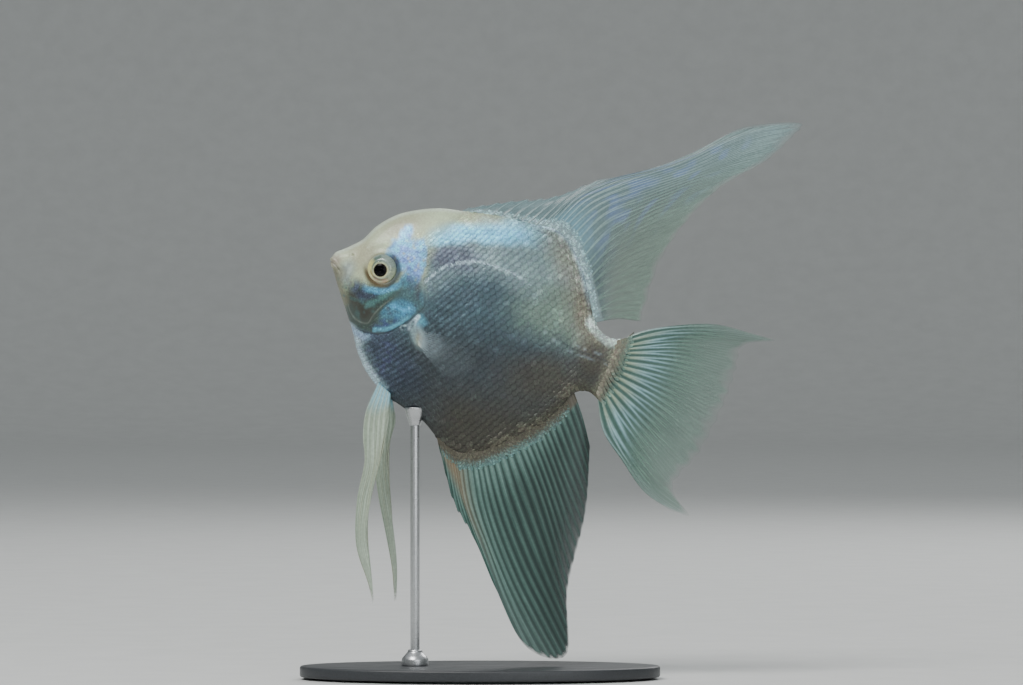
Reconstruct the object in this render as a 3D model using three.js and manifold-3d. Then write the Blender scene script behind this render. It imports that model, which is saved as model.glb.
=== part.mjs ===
// A freshwater angelfish, life size and still, hovering nose-up on a small display stand.
//
// Units are millimetres, +Z is up, the head points to -X and the left side to -Y.
// The origin is the middle of the underside of the stand's base.
// The fish is drawn level in its own frame, with the snout at (0, 0, 0) and the tail to +X,
// in percent of its standard length, and its group is then pitched nose-up and lifted.

import * as THREE from 'three';
import { LoftGeometry } from 'three/addons/geometries/LoftGeometry.js';
import { ParametricGeometry } from 'three/addons/geometries/ParametricGeometry.js';
import { mergeGeometries, mergeVertices } from 'three/addons/utils/BufferGeometryUtils.js';
import Module from 'manifold-3d';

const wasm = await Module();
wasm.setup();

// ---------------------------------------------------------------- driving sizes

const STANDARD_LENGTH = 80; // snout to the end of the fleshy tail stem
const PITCH_DEG = 21.3; // how far the nose points up
const SNOUT_AT = { x: - 39.7, z: 111 }; // the snout, from the middle of the base's underside
const GAP = 0.3; // clearance between pieces that meet

const FIN_ROOT_DEPTH = 1.7; // how far a fin is drawn into the flesh before it is trimmed
const MEMBRANE_HALF = 0.26; // half the thickness of a fin between its rays
const ROOT_SWELL = 0.22; // how much thicker each face is at the fleshy root
const RIDGE = { ray: 0.17, spine: 0.3 }; // how far rays and spines stand out of each face
const NOTCH = { ray: 0.5, spine: 1.1 }; // how far the edge falls back between two tips
const EDGE_INSET = 0.35; // share of a ray's spacing over which a fin's edge is bevelled

const EYE = { x: 16.7, z: 3.1, radius: 4.15, bulge: 2.4, depth: 1.2, turnDeg: 10 };
const PUPIL = { radius: 1.7, bulge: 0.8, proud: 0.2 };
const NOSTRIL = { x: 6.2, z: 4.2, radius: 0.45 };
// Places of the lips, in percent as the body's are, from the corner of the mouth to the front.
const LIPS = {
	radius: 0.55,
	upper: [ [ 4.4, - 1.3 ], [ 2.2, - 0.3 ], [ 0.7, 0.4 ] ],
	lower: [ [ 4.3, - 2.9 ], [ 2.4, - 2.3 ], [ 1.0, - 1.5 ] ],
};
const GILL_COVER = { raised: 0.25, innerShare: 0.8 };

const BASE = { halfLength: 48, halfDepth: 25, height: 3, bevel: 0.6 };
const ROD = { x: -17.3, radius: 1.25 };
const COLLAR = { radius: 3.6, height: 4 };
const SADDLE = { radius: 2.7, height: 5, overlap: 2.4 };

const pct = ( share ) => share * STANDARD_LENGTH / 100;
const flat = ( [ x, z ] ) => new THREE.Vector3( pct( x ), 0, pct( z ) );

// ---------------------------------------------------------------- materials

const finish = ( color, roughness, metalness = 0 ) => ( { color, roughness, metalness } );

const SKIN = finish( 0x8f9db4, 0.35 );
const HEAD_SKIN = finish( 0xb9a894, 0.38 );
const COVER_SKIN = finish( 0x7fb4c4, 0.3 );
const FIN = finish( 0x9fb6bb, 0.45 );
const PELVIC = finish( 0xe6e2cf, 0.5 );
const IRIS = finish( 0xd9cf9c, 0.2 );
const PUPIL_BLACK = finish( 0x0c0d10, 0.12 );
const BASE_PAINT = finish( 0x2b2d30, 0.55 );
const STEEL = finish( 0xb9bcc0, 0.3, 0.95 );

// ---------------------------------------------------------------- solids

// A geometry's bare surface: positions only, with its shared vertices merged.
function welded( geometry ) {

	const bare = new THREE.BufferGeometry();
	bare.setAttribute( 'position', geometry.getAttribute( 'position' ).clone() );
	bare.setIndex( geometry.index );
	return mergeVertices( bare, 1e-4 );

}

// Turns a closed geometry into a manifold with its faces outward.
function solid( geometry ) {

	const surface = welded( geometry );
	const vertProperties = new Float32Array( surface.getAttribute( 'position' ).array );
	const corner = ( k ) => new THREE.Vector3().fromArray( vertProperties, k * 3 );
	const kept = [];
	let volume = 0;

	for ( let i = 0; i < surface.index.count; i += 3 ) {

		const [ a, b, c ] = [ 0, 1, 2 ].map( ( k ) => surface.index.getX( i + k ) );
		if ( a === b || b === c || c === a ) continue;
		kept.push( a, b, c );
		volume += corner( a ).dot( corner( b ).cross( corner( c ) ) );

	}

	if ( volume < 0 ) kept.reverse();
	const triVerts = new Uint32Array( kept );
	return new wasm.Manifold( new wasm.Mesh( { numProp: 3, vertProperties, triVerts } ) );

}

// The largest closed surface of a solid: loose scraps and sealed hollows are left behind.
function largest( shape ) {

	return shape.decompose().sort( ( a, b ) => b.volume() - a.volume() )[ 0 ];

}

function geometryOf( shape ) {

	const mesh = shape.getMesh();
	const positions = [];

	for ( const index of mesh.triVerts ) {

		const at = index * mesh.numProp;
		positions.push( ...mesh.vertProperties.subarray( at, at + 3 ) );

	}

	const geometry = new THREE.BufferGeometry();
	geometry.setAttribute( 'position', new THREE.Float32BufferAttribute( positions, 3 ) );
	const merged = mergeVertices( geometry, 1e-5 );
	merged.computeVertexNormals();
	return merged;

}

// A wall along a line of [x, z] points, right through the fish from side to side.
function slit( through, thickness = GAP, reach = 20 ) {

	const curve = new THREE.CatmullRomCurve3( through.map( flat ), false, 'centripetal' );
	const steps = through.length * 2;
	const left = [];
	const right = [];

	for ( let i = 0; i <= steps; i ++ ) {

		const point = curve.getPoint( i / steps );
		const tangent = curve.getTangent( i / steps );
		const side = new THREE.Vector2( - tangent.z, tangent.x ).setLength( thickness / 2 );
		left.push( new THREE.Vector2( point.x + side.x, point.z + side.y ) );
		right.push( new THREE.Vector2( point.x - side.x, point.z - side.y ) );

	}

	return prism( new THREE.Shape( left.concat( right.reverse() ) ), - reach, reach );

}

// A shape drawn in the XZ plane, pulled along Y from one depth to the other.
function prism( shape, fromY, toY ) {

	const geometry = new THREE.ExtrudeGeometry( shape, { depth: toY - fromY, bevelEnabled: false } );
	geometry.rotateX( Math.PI / 2 ).translate( 0, toY, 0 );
	return solid( geometry );

}

// ---------------------------------------------------------------- the body's form

// One row for each station from the lips to the tail base, in percent of standard length:
// back x, back z, belly x, belly z, half width, keel (0 is an oval section, 1 a lens).
const STATIONS = [
	[ - 0.2, 0.9, - 0.2, - 0.3, 0.7, 0 ],
	[ 0.6, 3.1, 0.6, - 1.5, 2.1, 0 ],
	[ 2.2, 4.6, 2.2, - 3.3, 3.0, 0 ],
	[ 4.6, 7.0, 4.6, - 6.4, 3.9, 0 ],
	[ 7.4, 10.3, 7.9, - 10.5, 5.1, 0 ],
	[ 10.0, 15.9, 11.2, - 14.4, 6.4, 0.1 ],
	[ 15.0, 22.0, 15.4, - 19.9, 7.9, 0.3 ],
	[ 21.5, 26.4, 20.0, - 26.3, 9.1, 0.6 ],
	[ 28.0, 29.4, 26.0, - 31.6, 10.1, 0.8 ],
	[ 34.1, 31.0, 32.5, - 35.0, 10.6, 1 ],
	[ 41.5, 33.2, 39.5, - 37.0, 10.2, 1 ],
	[ 50.0, 35.1, 47.5, - 38.8, 9.2, 1 ],
	[ 58.5, 36.3, 54.5, - 42.5, 7.6, 1 ],
	[ 65.4, 37.6, 60.7, - 44.9, 6.1, 1 ],
	[ 70.5, 36.3, 67.0, - 43.7, 5.1, 1 ],
	[ 75.5, 32.4, 73.0, - 39.4, 4.3, 0.9 ],
	[ 80.5, 26.8, 79.0, - 33.1, 3.6, 0.8 ],
	[ 85.3, 19.8, 84.5, - 27.0, 3.1, 0.7 ],
	[ 88.8, 14.2, 88.8, - 19.5, 2.8, 0.5 ],
	[ 91.5, 11.1, 92.0, - 11.6, 2.5, 0.3 ],
	[ 95.0, 9.8, 95.3, - 9.9, 2.2, 0.2 ],
	[ 98.0, 10.1, 98.0, - 10.4, 2.0, 0.2 ],
	[ 100.3, 11.2, 99.6, - 11.2, 1.6, 0.2 ],
];

const RIM = 0.8; // radius of the rounded edge along the back and the belly
const KEEL_SHARPNESS = 0.45;
const SKIN_NET = { rows: 44, columns: 34 };
const CORE_NET = { rows: 22, columns: 20 }; // the plain inner form that the gill covers lie on

const backLine = new THREE.CatmullRomCurve3( STATIONS.map( ( s ) => flat( [ s[ 0 ], s[ 1 ] ] ) ) );
const bellyLine = new THREE.CatmullRomCurve3( STATIONS.map( ( s ) => flat( [ s[ 2 ], s[ 3 ] ] ) ) );
const girth = new THREE.CatmullRomCurve3( STATIONS.map( ( [ , , , , halfWidth, keel ] ) => {

	return new THREE.Vector3( pct( halfWidth ), keel, 0 );

} ) );

// A point of the flank: t runs from lips to tail, angle from the back (90 deg) to the belly.
function flank( t, angle, widthShare = 1, widthLess = 0 ) {

	const back = backLine.getPoint( t );
	const belly = bellyLine.getPoint( t );
	const { x: halfWidth, y: keel } = girth.getPoint( t );
	const point = belly.lerp( back, ( 1 + Math.sin( angle ) ) / 2 );
	const across = Math.cos( angle );
	const rim = Math.min( RIM, halfWidth / 2 );
	const lens = Math.pow( Math.abs( across ), 1 + KEEL_SHARPNESS * keel );
	const reach = ( halfWidth - rim ) * lens + rim * Math.abs( across );
	point.y = Math.sign( across ) * Math.max( reach * widthShare - widthLess, 0 );
	return point;

}

function bodyLoft( { rows, columns }, widthShare = 1, widthLess = 0 ) {

	const sections = [];

	for ( let i = 0; i <= rows; i ++ ) {

		const section = [];

		for ( let j = 0; j < columns; j ++ ) {

			section.push( flank( i / rows, 2 * Math.PI * ( j + 0.5 ) / columns, widthShare, widthLess ) );

		}

		sections.push( section );

	}

	return new LoftGeometry( sections, { capStart: true, capEnd: true } );

}

// The same surface moved outward by a distance, along its own normals.
function swollen( geometry, distance ) {

	const skin = welded( geometry );
	skin.computeVertexNormals();
	const position = skin.getAttribute( 'position' );
	const normal = skin.getAttribute( 'normal' );

	for ( let i = 0; i < position.count; i ++ ) {

		const point = new THREE.Vector3().fromBufferAttribute( position, i );
		const outward = new THREE.Vector3().fromBufferAttribute( normal, i );
		point.addScaledVector( outward, distance );
		position.setXYZ( i, point.x, point.y, point.z );

	}

	return skin;

}

// How far the flank stands out from the middle plane at a place given in percent.
function flankDepth( x, z ) {

	let low = 0;
	let high = 1;
	let angle = 0;

	for ( let i = 0; i < 24; i ++ ) {

		const t = ( low + high ) / 2;
		const back = backLine.getPoint( t );
		const belly = bellyLine.getPoint( t );
		const share = THREE.MathUtils.clamp( ( pct( z ) - belly.z ) / ( back.z - belly.z ), 0, 1 );
		angle = Math.asin( 2 * share - 1 );
		if ( THREE.MathUtils.lerp( belly.x, back.x, share ) < pct( x ) ) low = t;
		else high = t;

	}

	return flank( low, angle ).y;

}

// ---------------------------------------------------------------- head, trunk and tail stem

const NECK_LINE = [
	[ 19, 36 ], [ 22, 28 ], [ 25.4, 20 ], [ 27.8, 13 ], [ 30.4, 7.2 ], [ 33.7, 2.8 ], [ 35.3, - 3.3 ],
	[ 32.4, - 9.6 ], [ 29.2, - 13.7 ], [ 25.9, - 16.9 ], [ 21, - 18.9 ], [ 16, - 19.4 ], [ 9, - 20 ],
];
const PEDUNCLE_LINE = [ [ 93.5, 17 ], [ 91.4, 8 ], [ 90.6, 0 ], [ 91.6, - 8 ], [ 94, - 17 ] ];
const MOUTH_LINE = [
	[ - 2, - 0.3 ], [ 0.2, - 0.6 ], [ 2.3, - 1.3 ], [ 4.9, - 2.3 ], [ 6.4, - 5 ], [ 7.3, - 9 ], [ 7.6, - 14 ],
];

// The gill cover's outline, from its upper front corner round the free rear edge.
const GILL_OUTLINE = [
	[ 23.6, 6.0 ], [ 27.4, 6.2 ], [ 30.3, 4.2 ], [ 32.9, 0.6 ], [ 34.3, - 3.4 ],
	[ 31.6, - 9.2 ], [ 28.6, - 13.2 ], [ 25.4, - 16.2 ], [ 20.9, - 18.0 ], [ 17.6, - 17.8 ],
	[ 19.6, - 15 ], [ 20.7, - 11.9 ], [ 22.6, - 7.7 ], [ 24.4, - 3 ], [ 23.8, 1.4 ],
];

function gillShape( grow ) {

	const outline = new THREE.CatmullRomCurve3( GILL_OUTLINE.map( flat ), true, 'centripetal' );
	const steps = GILL_OUTLINE.length * 2;
	const points = [];

	for ( let i = 0; i < steps; i ++ ) {

		const point = outline.getPoint( i / steps );
		const tangent = outline.getTangent( i / steps );
		points.push( new THREE.Vector2( point.x - tangent.z * grow, point.z + tangent.x * grow ) );

	}

	return new THREE.Shape( points );

}

// A lip: a rounded ridge along the mouth, from corner to corner.
function lip( places ) {

	// The ends at the corners of the mouth run down into the cheek.
	const onSkin = ( side ) => ( [ x, z ], index ) => {

		const sunk = LIPS.radius * ( index === 0 ? 1.2 : 0.3 );
		return new THREE.Vector3( pct( x ), side * ( flankDepth( x, z ) - sunk ), pct( z ) );

	};

	const [ frontX, frontZ ] = places[ places.length - 1 ];
	const front = new THREE.Vector3( pct( frontX - 0.8 ), 0, pct( frontZ ) );
	const left = places.map( onSkin( - 1 ) );
	const right = places.map( onSkin( 1 ) ).reverse();
	const path = new THREE.CatmullRomCurve3( [ ...left, front, ...right ] );
	const round = new THREE.Shape().absarc( 0, 0, LIPS.radius, 0, 2 * Math.PI );
	return solid( new THREE.ExtrudeGeometry( round, { steps: 14, curveSegments: 4, extrudePath: path } ) );

}

const flesh = bodyLoft( SKIN_NET );
const body = solid( flesh ).add( lip( LIPS.upper ) ).add( lip( LIPS.lower ) );
const clearOfBody = solid( swollen( flesh, GAP ) );

const neckCut = slit( NECK_LINE );
const peduncleCut = slit( PEDUNCLE_LINE );
const lengthwise = ( a, b ) => a.boundingBox().min[ 0 ] - b.boundingBox().min[ 0 ];
const [ headBlank, trunk, tailStem ] = body.subtract( neckCut ).subtract( peduncleCut ).decompose()
	.sort( ( a, b ) => b.volume() - a.volume() ).slice( 0, 3 ).sort( lengthwise );

// ---------------------------------------------------------------- eyes, nostrils, jaw, gill covers

// A spheroid let into the flank; side is -1 on the left and 1 on the right.
function eyeball( side, grow = 0 ) {

	const ball = new THREE.SphereGeometry( 1, 18, 10 );
	ball.rotateX( Math.PI / 2 ).scale( EYE.radius + grow, EYE.bulge + grow, EYE.radius + grow );
	return placeOnHead( ball, side );

}

function pupilLens( side, grow = 0 ) {

	const lens = new THREE.SphereGeometry( 1, 12, 6 );
	lens.rotateX( Math.PI / 2 ).scale( PUPIL.radius + grow, PUPIL.bulge + grow, PUPIL.radius + grow );
	lens.translate( 0, side * ( EYE.bulge + PUPIL.proud - PUPIL.bulge ), 0 );
	return placeOnHead( lens, side );

}

// The eyeball with a seat for its pupil.
const iris = ( side ) => largest( eyeball( side ).subtract( pupilLens( side, GAP ) ) );

function placeOnHead( geometry, side ) {

	geometry.rotateZ( side * THREE.MathUtils.degToRad( EYE.turnDeg ) );
	geometry.translate( pct( EYE.x ), side * ( flankDepth( EYE.x, EYE.z ) - EYE.depth ), pct( EYE.z ) );
	return solid( geometry );

}

function nostril( side ) {

	const pit = new THREE.SphereGeometry( NOSTRIL.radius, 10, 6 );
	const depth = flankDepth( NOSTRIL.x, NOSTRIL.z );
	pit.scale( 1.3, 1, 1 ).translate( pct( NOSTRIL.x ), side * depth, pct( NOSTRIL.z ) );
	return solid( pit );

}

function gillSide( side, grow ) {

	return side < 0 ? prism( gillShape( grow ), - 20, 0 ) : prism( gillShape( grow ), 0, 20 );

}

function gillCover( side ) {

	const skin = solid( swollen( flesh, GILL_COVER.raised ) );
	const core = solid( bodyLoft( CORE_NET, GILL_COVER.innerShare ) );
	return largest( skin.intersect( gillSide( side, 0 ) ).subtract( core ) );

}

function gillPocket( side ) {

	const core = solid( bodyLoft( CORE_NET, GILL_COVER.innerShare, GAP ) );
	return gillSide( side, GAP ).subtract( core );

}

function headAndJaw() {

	let shape = headBlank;

	for ( const side of [ - 1, 1 ] ) {

		const hollows = [ eyeball( side, GAP ), nostril( side ), gillPocket( side ) ];
		for ( const hollow of hollows ) shape = shape.subtract( hollow );

	}

	const pieces = shape.subtract( slit( MOUTH_LINE ) ).decompose();
	const [ rest, lower ] = pieces.sort( ( a, b ) => b.volume() - a.volume() );
	return { head: rest, jaw: lower };

}

const { head, jaw } = headAndJaw();

// ---------------------------------------------------------------- fins

// A fin is given by a few guide rays, each the [x, z] points that it passes from root to tip,
// with its number among the fin's rays. The rays between them are blended from these.

const DORSAL = {
	rays: 28,
	spines: 11,
	rows: 8,
	guides: [
		{ ray: 0, through: [ [ 34.4, 30.9 ], [ 36.4, 33.1 ] ] },
		{ ray: 3, through: [ [ 44.7, 33.8 ], [ 46.8, 37.5 ], [ 49.2, 40.6 ] ] },
		{ ray: 6, through: [ [ 54.4, 35.5 ], [ 57.8, 41.4 ], [ 62.2, 47.4 ] ] },
		{ ray: 9, through: [ [ 61.7, 36.9 ], [ 66.0, 46.1 ], [ 73.3, 57.5 ] ] },
		{ ray: 10, through: [ [ 62.9, 37.1 ], [ 67.4, 47.6 ], [ 75.2, 57.6 ], [ 88.1, 66.4 ] ] },
		{ ray: 11, through: [
			[ 64.1, 37.3 ], [ 69.0, 49.0 ], [ 77.5, 58.6 ],
			[ 89.6, 67.6 ], [ 101.0, 79.0 ] ] },
		{ ray: 12, through: [
			[ 65.4, 37.4 ], [ 70.6, 49.4 ], [ 80.0, 59.2 ],
			[ 95.0, 71.4 ], [ 112.2, 91.4 ] ] },
		{ ray: 13, through: [
			[ 66.8, 37.4 ], [ 72.0, 49.0 ], [ 81.4, 58.8 ],
			[ 97.0, 71.6 ], [ 113.6, 88.8 ], [ 130.0, 99.2 ] ] },
		{ ray: 15, through: [
			[ 69.6, 36.6 ], [ 75.6, 48.4 ], [ 86.0, 58.6 ],
			[ 101.6, 71.6 ], [ 116.4, 85.6 ], [ 128.2, 94.0 ] ] },
		{ ray: 17, through: [
			[ 73.6, 34.0 ], [ 79.4, 47.3 ], [ 91.2, 58.4 ],
			[ 107.2, 72.4 ], [ 123.8, 84.6 ] ] },
		{ ray: 20, through: [ [ 79.4, 28.1 ], [ 84.1, 39.9 ], [ 93.7, 51.9 ], [ 111.1, 67.9 ] ] },
		{ ray: 24, through: [ [ 84.6, 21.2 ], [ 89.2, 28.7 ], [ 102.6, 42.1 ] ] },
		{ ray: 27, through: [ [ 90.0, 12.9 ], [ 96.1, 16.4 ], [ 103.5, 18.5 ] ] },
	],
	sway: ( u, v ) => 2.2 * v * v * Math.sin( 2.6 * u + 1.2 * v ),
};

const ANAL = {
	rays: 24,
	spines: 6,
	rows: 8,
	guides: [
		{ ray: 0, through: [ [ 54.4, - 42.4 ], [ 56.7, - 45.8 ] ] },
		{ ray: 2, through: [ [ 58.4, - 44.4 ], [ 62.9, - 52.3 ], [ 68.0, - 61.0 ] ] },
		{ ray: 4, through: [ [ 61.3, - 45.4 ], [ 69.3, - 58.7 ], [ 77.4, - 68.5 ] ] },
		{ ray: 5, through: [ [ 62.7, - 45.6 ], [ 70.2, - 58.4 ], [ 79.4, - 69.1 ], [ 92.0, - 83.1 ] ] },
		{ ray: 6, through: [
			[ 64.4, - 45.2 ], [ 72.0, - 58.6 ], [ 82.0, - 70.0 ],
			[ 94.9, - 84.6 ], [ 106.7, - 96.0 ] ] },
		{ ray: 8, through: [
			[ 68.0, - 43.5 ], [ 77.6, - 59.1 ], [ 91.4, - 75.1 ],
			[ 104.2, - 87.2 ], [ 116.0, - 97.0 ] ] },
		{ ray: 10, through: [
			[ 71.4, - 41.0 ], [ 82.6, - 57.0 ], [ 97.2, - 73.0 ],
			[ 110.0, - 84.6 ], [ 120.6, - 94.1 ] ] },
		{ ray: 14, through: [ [ 79.3, - 33.1 ], [ 93.8, - 49.2 ], [ 113.3, - 73.7 ] ] },
		{ ray: 19, through: [ [ 86.9, - 23.3 ], [ 98.9, - 36.5 ], [ 109.5, - 47.4 ] ] },
		{ ray: 23, through: [ [ 91.8, - 12.0 ], [ 97.2, - 18.4 ], [ 103.0, - 26.6 ] ] },
	],
	sway: ( u, v ) => - 2.0 * v * v * Math.sin( 3.0 * u + 0.9 * v ),
};

const CAUDAL = {
	rays: 16,
	spines: 0,
	rows: 6,
	guides: [
		{ ray: 0, through: [
			[ 99.8, 10.6 ], [ 104.5, 15.1 ], [ 113.1, 20.5 ],
			[ 126.8, 26.5 ], [ 139.4, 28.2 ] ] },
		{ ray: 1, through: [
			[ 99.7, 9.2 ], [ 110.9, 17.1 ], [ 123.0, 22.5 ],
			[ 135.9, 26.1 ], [ 147.4, 28.8 ] ] },
		{ ray: 2, through: [ [ 99.8, 7.8 ], [ 117.8, 17.6 ], [ 138.2, 23.1 ] ] },
		{ ray: 4, through: [ [ 99.9, 5.7 ], [ 119.6, 13.0 ], [ 139.0, 15.5 ] ] },
		{ ray: 7, through: [ [ 99.7, 1.7 ], [ 118.1, 3.1 ], [ 139.4, 2.5 ] ] },
		{ ray: 10, through: [ [ 99.6, - 2.7 ], [ 116.8, - 7.4 ], [ 137.6, - 15.0 ] ] },
		{ ray: 13, through: [ [ 99.5, - 7.0 ], [ 114.7, - 18.6 ], [ 133.6, - 29.4 ] ] },
		{ ray: 14, through: [
			[ 99.5, - 8.8 ], [ 107.7, - 18.8 ], [ 121.8, - 29.4 ],
			[ 130.5, - 33.5 ], [ 142.0, - 35.9 ] ] },
		{ ray: 15, through: [
			[ 99.3, - 10.3 ], [ 104.9, - 19.9 ], [ 114.4, - 26.9 ],
			[ 125.0, - 33.9 ], [ 136.0, - 36.6 ] ] },
	],
	sway: ( u, v ) => 1.6 * v * v * Math.sin( 4.2 * u + 0.4 ),
};

const PELVIC_LEFT = {
	rays: 6,
	spines: 1,
	rows: 12,
	guides: [
		{ ray: 0, through: [
			[ 29.4, - 34.3 ], [ 29.2, - 42.9 ], [ 31.3, - 50.7 ], [ 34.7, - 57.9 ], [ 37.2, - 71.2 ],
			[ 42.5, - 85.3 ], [ 50.8, - 95.6 ], [ 54.6, - 101.2 ] ] },
		{ ray: 2, through: [
			[ 31.8, - 35.0 ], [ 32.3, - 42.2 ], [ 34.9, - 50.8 ], [ 37.6, - 58.6 ], [ 39.6, - 71.6 ],
			[ 43.9, - 84.7 ], [ 51.6, - 95.0 ], [ 54.4, - 99.9 ] ] },
		{ ray: 4, through: [
			[ 34.0, - 35.7 ], [ 35.2, - 41.4 ], [ 37.6, - 50.0 ],
			[ 39.4, - 58.2 ], [ 41.6, - 70.4 ], [ 44.4, - 81.0 ] ] },
		{ ray: 5, through: [
			[ 35.5, - 36.2 ], [ 37.0, - 40.9 ], [ 38.8, - 49.2 ],
			[ 40.0, - 58.7 ], [ 40.9, - 67.4 ] ] },
	],
	sway: ( u, v ) => - 1.7 - 4.6 * v,
};

const PELVIC_RIGHT = {
	rays: 6,
	spines: 1,
	rows: 12,
	guides: [
		{ ray: 0, through: [
			[ 30.3, - 34.6 ], [ 32.3, - 44.6 ], [ 36.6, - 55.4 ], [ 42.9, - 67.2 ], [ 49.6, - 77.8 ],
			[ 56.3, - 88.8 ], [ 61.0, - 98.8 ] ] },
		{ ray: 2, through: [
			[ 32.8, - 35.4 ], [ 36.0, - 45.1 ], [ 39.6, - 56.2 ], [ 45.3, - 67.2 ], [ 51.3, - 77.5 ],
			[ 57.5, - 88.3 ], [ 61.3, - 98.0 ] ] },
		{ ray: 4, through: [
			[ 34.9, - 36.1 ], [ 38.4, - 44.0 ], [ 41.0, - 55.0 ],
			[ 46.6, - 66.0 ], [ 52.6, - 78.0 ] ] },
		{ ray: 5, through: [
			[ 36.4, - 36.6 ], [ 39.4, - 41.9 ], [ 40.4, - 49.4 ],
			[ 44.8, - 61.2 ], [ 49.8, - 71.8 ] ] },
	],
	sway: ( u, v ) => 1.7 + 3.6 * v,
};

const PECTORAL = {
	rays: 12,
	spines: 0,
	rows: 5,
	splay: 0.68,
	guides: [
		{ ray: 0, through: [ [ 34.8, - 11.4 ], [ 44.5, - 9.8 ], [ 54.0, - 11.1 ] ] },
		{ ray: 4, through: [ [ 36.2, - 13.1 ], [ 46.8, - 12.9 ], [ 57.9, - 13.9 ] ] },
		{ ray: 8, through: [ [ 37.5, - 14.7 ], [ 46.6, - 16.9 ], [ 56.3, - 18.8 ] ] },
		{ ray: 11, through: [ [ 38.5, - 16.4 ], [ 44.1, - 19.6 ], [ 49.9, - 22.7 ] ] },
	],
};

// The rays of a fin, blended between its guides: where a ray is, and how long it is.
function finRays( fin ) {

	const curves = fin.guides.map( ( { through } ) => {

		const points = through.map( flat );
		const inward = points[ 0 ].clone().sub( points[ 1 ] ).setLength( FIN_ROOT_DEPTH );
		return new THREE.CatmullRomCurve3( [ points[ 0 ].clone().add( inward ), ...points ] );

	} );
	const numbers = fin.guides.map( ( { ray } ) => ray );

	// Between which two guides a ray lies, and how far from one to the other.
	const locate = ( ray ) => {

		const after = Math.max( numbers.findIndex( ( number ) => number >= ray ), 1 );
		return { after, share: ( ray - numbers[ after - 1 ] ) / ( numbers[ after ] - numbers[ after - 1 ] ) };

	};

	const point = ( ray, along ) => {

		const { after, share } = locate( ray );
		const across = new THREE.CatmullRomCurve3( curves.map( ( curve ) => curve.getPointAt( along ) ) );
		const place = across.getPoint( ( after - 1 + share ) / ( numbers.length - 1 ) );
		place.y = fin.sway( ray / ( fin.rays - 1 ), along );
		return place;

	};

	const length = ( ray ) => {

		const { after, share } = locate( ray );
		return THREE.MathUtils.lerp( curves[ after - 1 ].getLength(), curves[ after ].getLength(), share );

	};

	return { point, length };

}

// Columns of a fin's net: the crest of each ray, the valley after it, and the two edges.
function finColumns( fin ) {

	const last = fin.rays - 1;
	const columns = [ { ray: 0, edge: true }, { ray: EDGE_INSET, crest: true } ];

	for ( let ray = 1; ray <= last; ray ++ ) {

		columns.push( { ray: ray - 0.5 } );
		if ( ray < last ) columns.push( { ray, crest: true } );

	}

	columns.push( { ray: last - EDGE_INSET / 2, crest: true }, { ray: last, edge: true } );
	return columns;

}

// Two faces with one net of triangles, that meet in a thin edge all round. Each ray is a ridge
// raised in both faces, and its tip stands out past the membrane beside it.
function finSolid( fin ) {

	const { point, length } = finRays( fin );
	const columns = finColumns( fin );
	const rows = [ 0, 0.03 ];
	for ( let row = 1; row < fin.rows; row ++ ) rows.push( row / fin.rows );
	rows.push( 0.985, 1 );

	const face = ( side ) => new ParametricGeometry( ( u, v, target ) => {

		const column = columns[ Math.round( u * ( columns.length - 1 ) ) ];
		const along = rows[ Math.round( v * ( rows.length - 1 ) ) ];
		const kind = column.ray < fin.spines ? 'spine' : 'ray';
		const reach = column.crest || column.edge ? 1 : 1 - NOTCH[ kind ] / length( column.ray );
		const swell = ROOT_SWELL * ( 1 - along ) ** 3;
		const ridge = column.crest ? RIDGE[ kind ] * ( 1 - 0.6 * along ) : 0;
		const onEdge = column.edge || along === 0 || along === 1;
		target.copy( point( column.ray, along * reach ) );
		target.y += onEdge ? 0 : side * ( MEMBRANE_HALF + swell + ridge );

	}, columns.length - 1, rows.length - 1 );

	const near = face( - 1 );
	const far = face( 1 );
	far.index.array.reverse();
	return solid( mergeGeometries( [ near, far ] ) );

}

const finOnBody = ( fin ) => largest( finSolid( fin ).subtract( clearOfBody ) );

function pectoral( side ) {

	const root = flankDepth( 36.5, - 13.5 ) - FIN_ROOT_DEPTH * 0.8;
	const reach = pct( 24 ) * PECTORAL.splay;
	const sway = ( u, v ) => side * ( root + reach * v + 1.6 * Math.sin( Math.PI * v ) * ( u - 0.5 ) );
	return finOnBody( { ...PECTORAL, sway } );

}

// ---------------------------------------------------------------- the fish, pitched on its stand

const fish = new THREE.Group();
fish.rotation.y = THREE.MathUtils.degToRad( PITCH_DEG );
fish.position.set( SNOUT_AT.x, 0, SNOUT_AT.z );
fish.updateMatrix();

function addNode( group, name, geometry, look ) {

	const mesh = new THREE.Mesh( geometry, new THREE.MeshStandardMaterial( look ) );
	mesh.name = name;
	group.add( mesh );

}

addNode( fish, 'head', geometryOf( head ), HEAD_SKIN );
addNode( fish, 'lower_jaw', geometryOf( jaw ), HEAD_SKIN );
addNode( fish, 'trunk', geometryOf( trunk ), SKIN );
addNode( fish, 'tail_stem', geometryOf( tailStem ), SKIN );

for ( const [ side, word ] of [ [ - 1, 'left' ], [ 1, 'right' ] ] ) {

	addNode( fish, `gill_cover_${ word }`, geometryOf( gillCover( side ) ), COVER_SKIN );
	addNode( fish, `eye_${ word }`, geometryOf( iris( side ) ), IRIS );
	addNode( fish, `pupil_${ word }`, geometryOf( pupilLens( side ) ), PUPIL_BLACK );
	addNode( fish, `pectoral_fin_${ word }`, geometryOf( pectoral( side ) ), FIN );

}

addNode( fish, 'pelvic_fin_left', geometryOf( finOnBody( PELVIC_LEFT ) ), PELVIC );
addNode( fish, 'pelvic_fin_right', geometryOf( finOnBody( PELVIC_RIGHT ) ), PELVIC );
addNode( fish, 'dorsal_fin', geometryOf( finOnBody( DORSAL ) ), FIN );
addNode( fish, 'anal_fin', geometryOf( finOnBody( ANAL ) ), FIN );
addNode( fish, 'caudal_fin', geometryOf( finOnBody( CAUDAL ) ), FIN );

// ---------------------------------------------------------------- the stand

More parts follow.
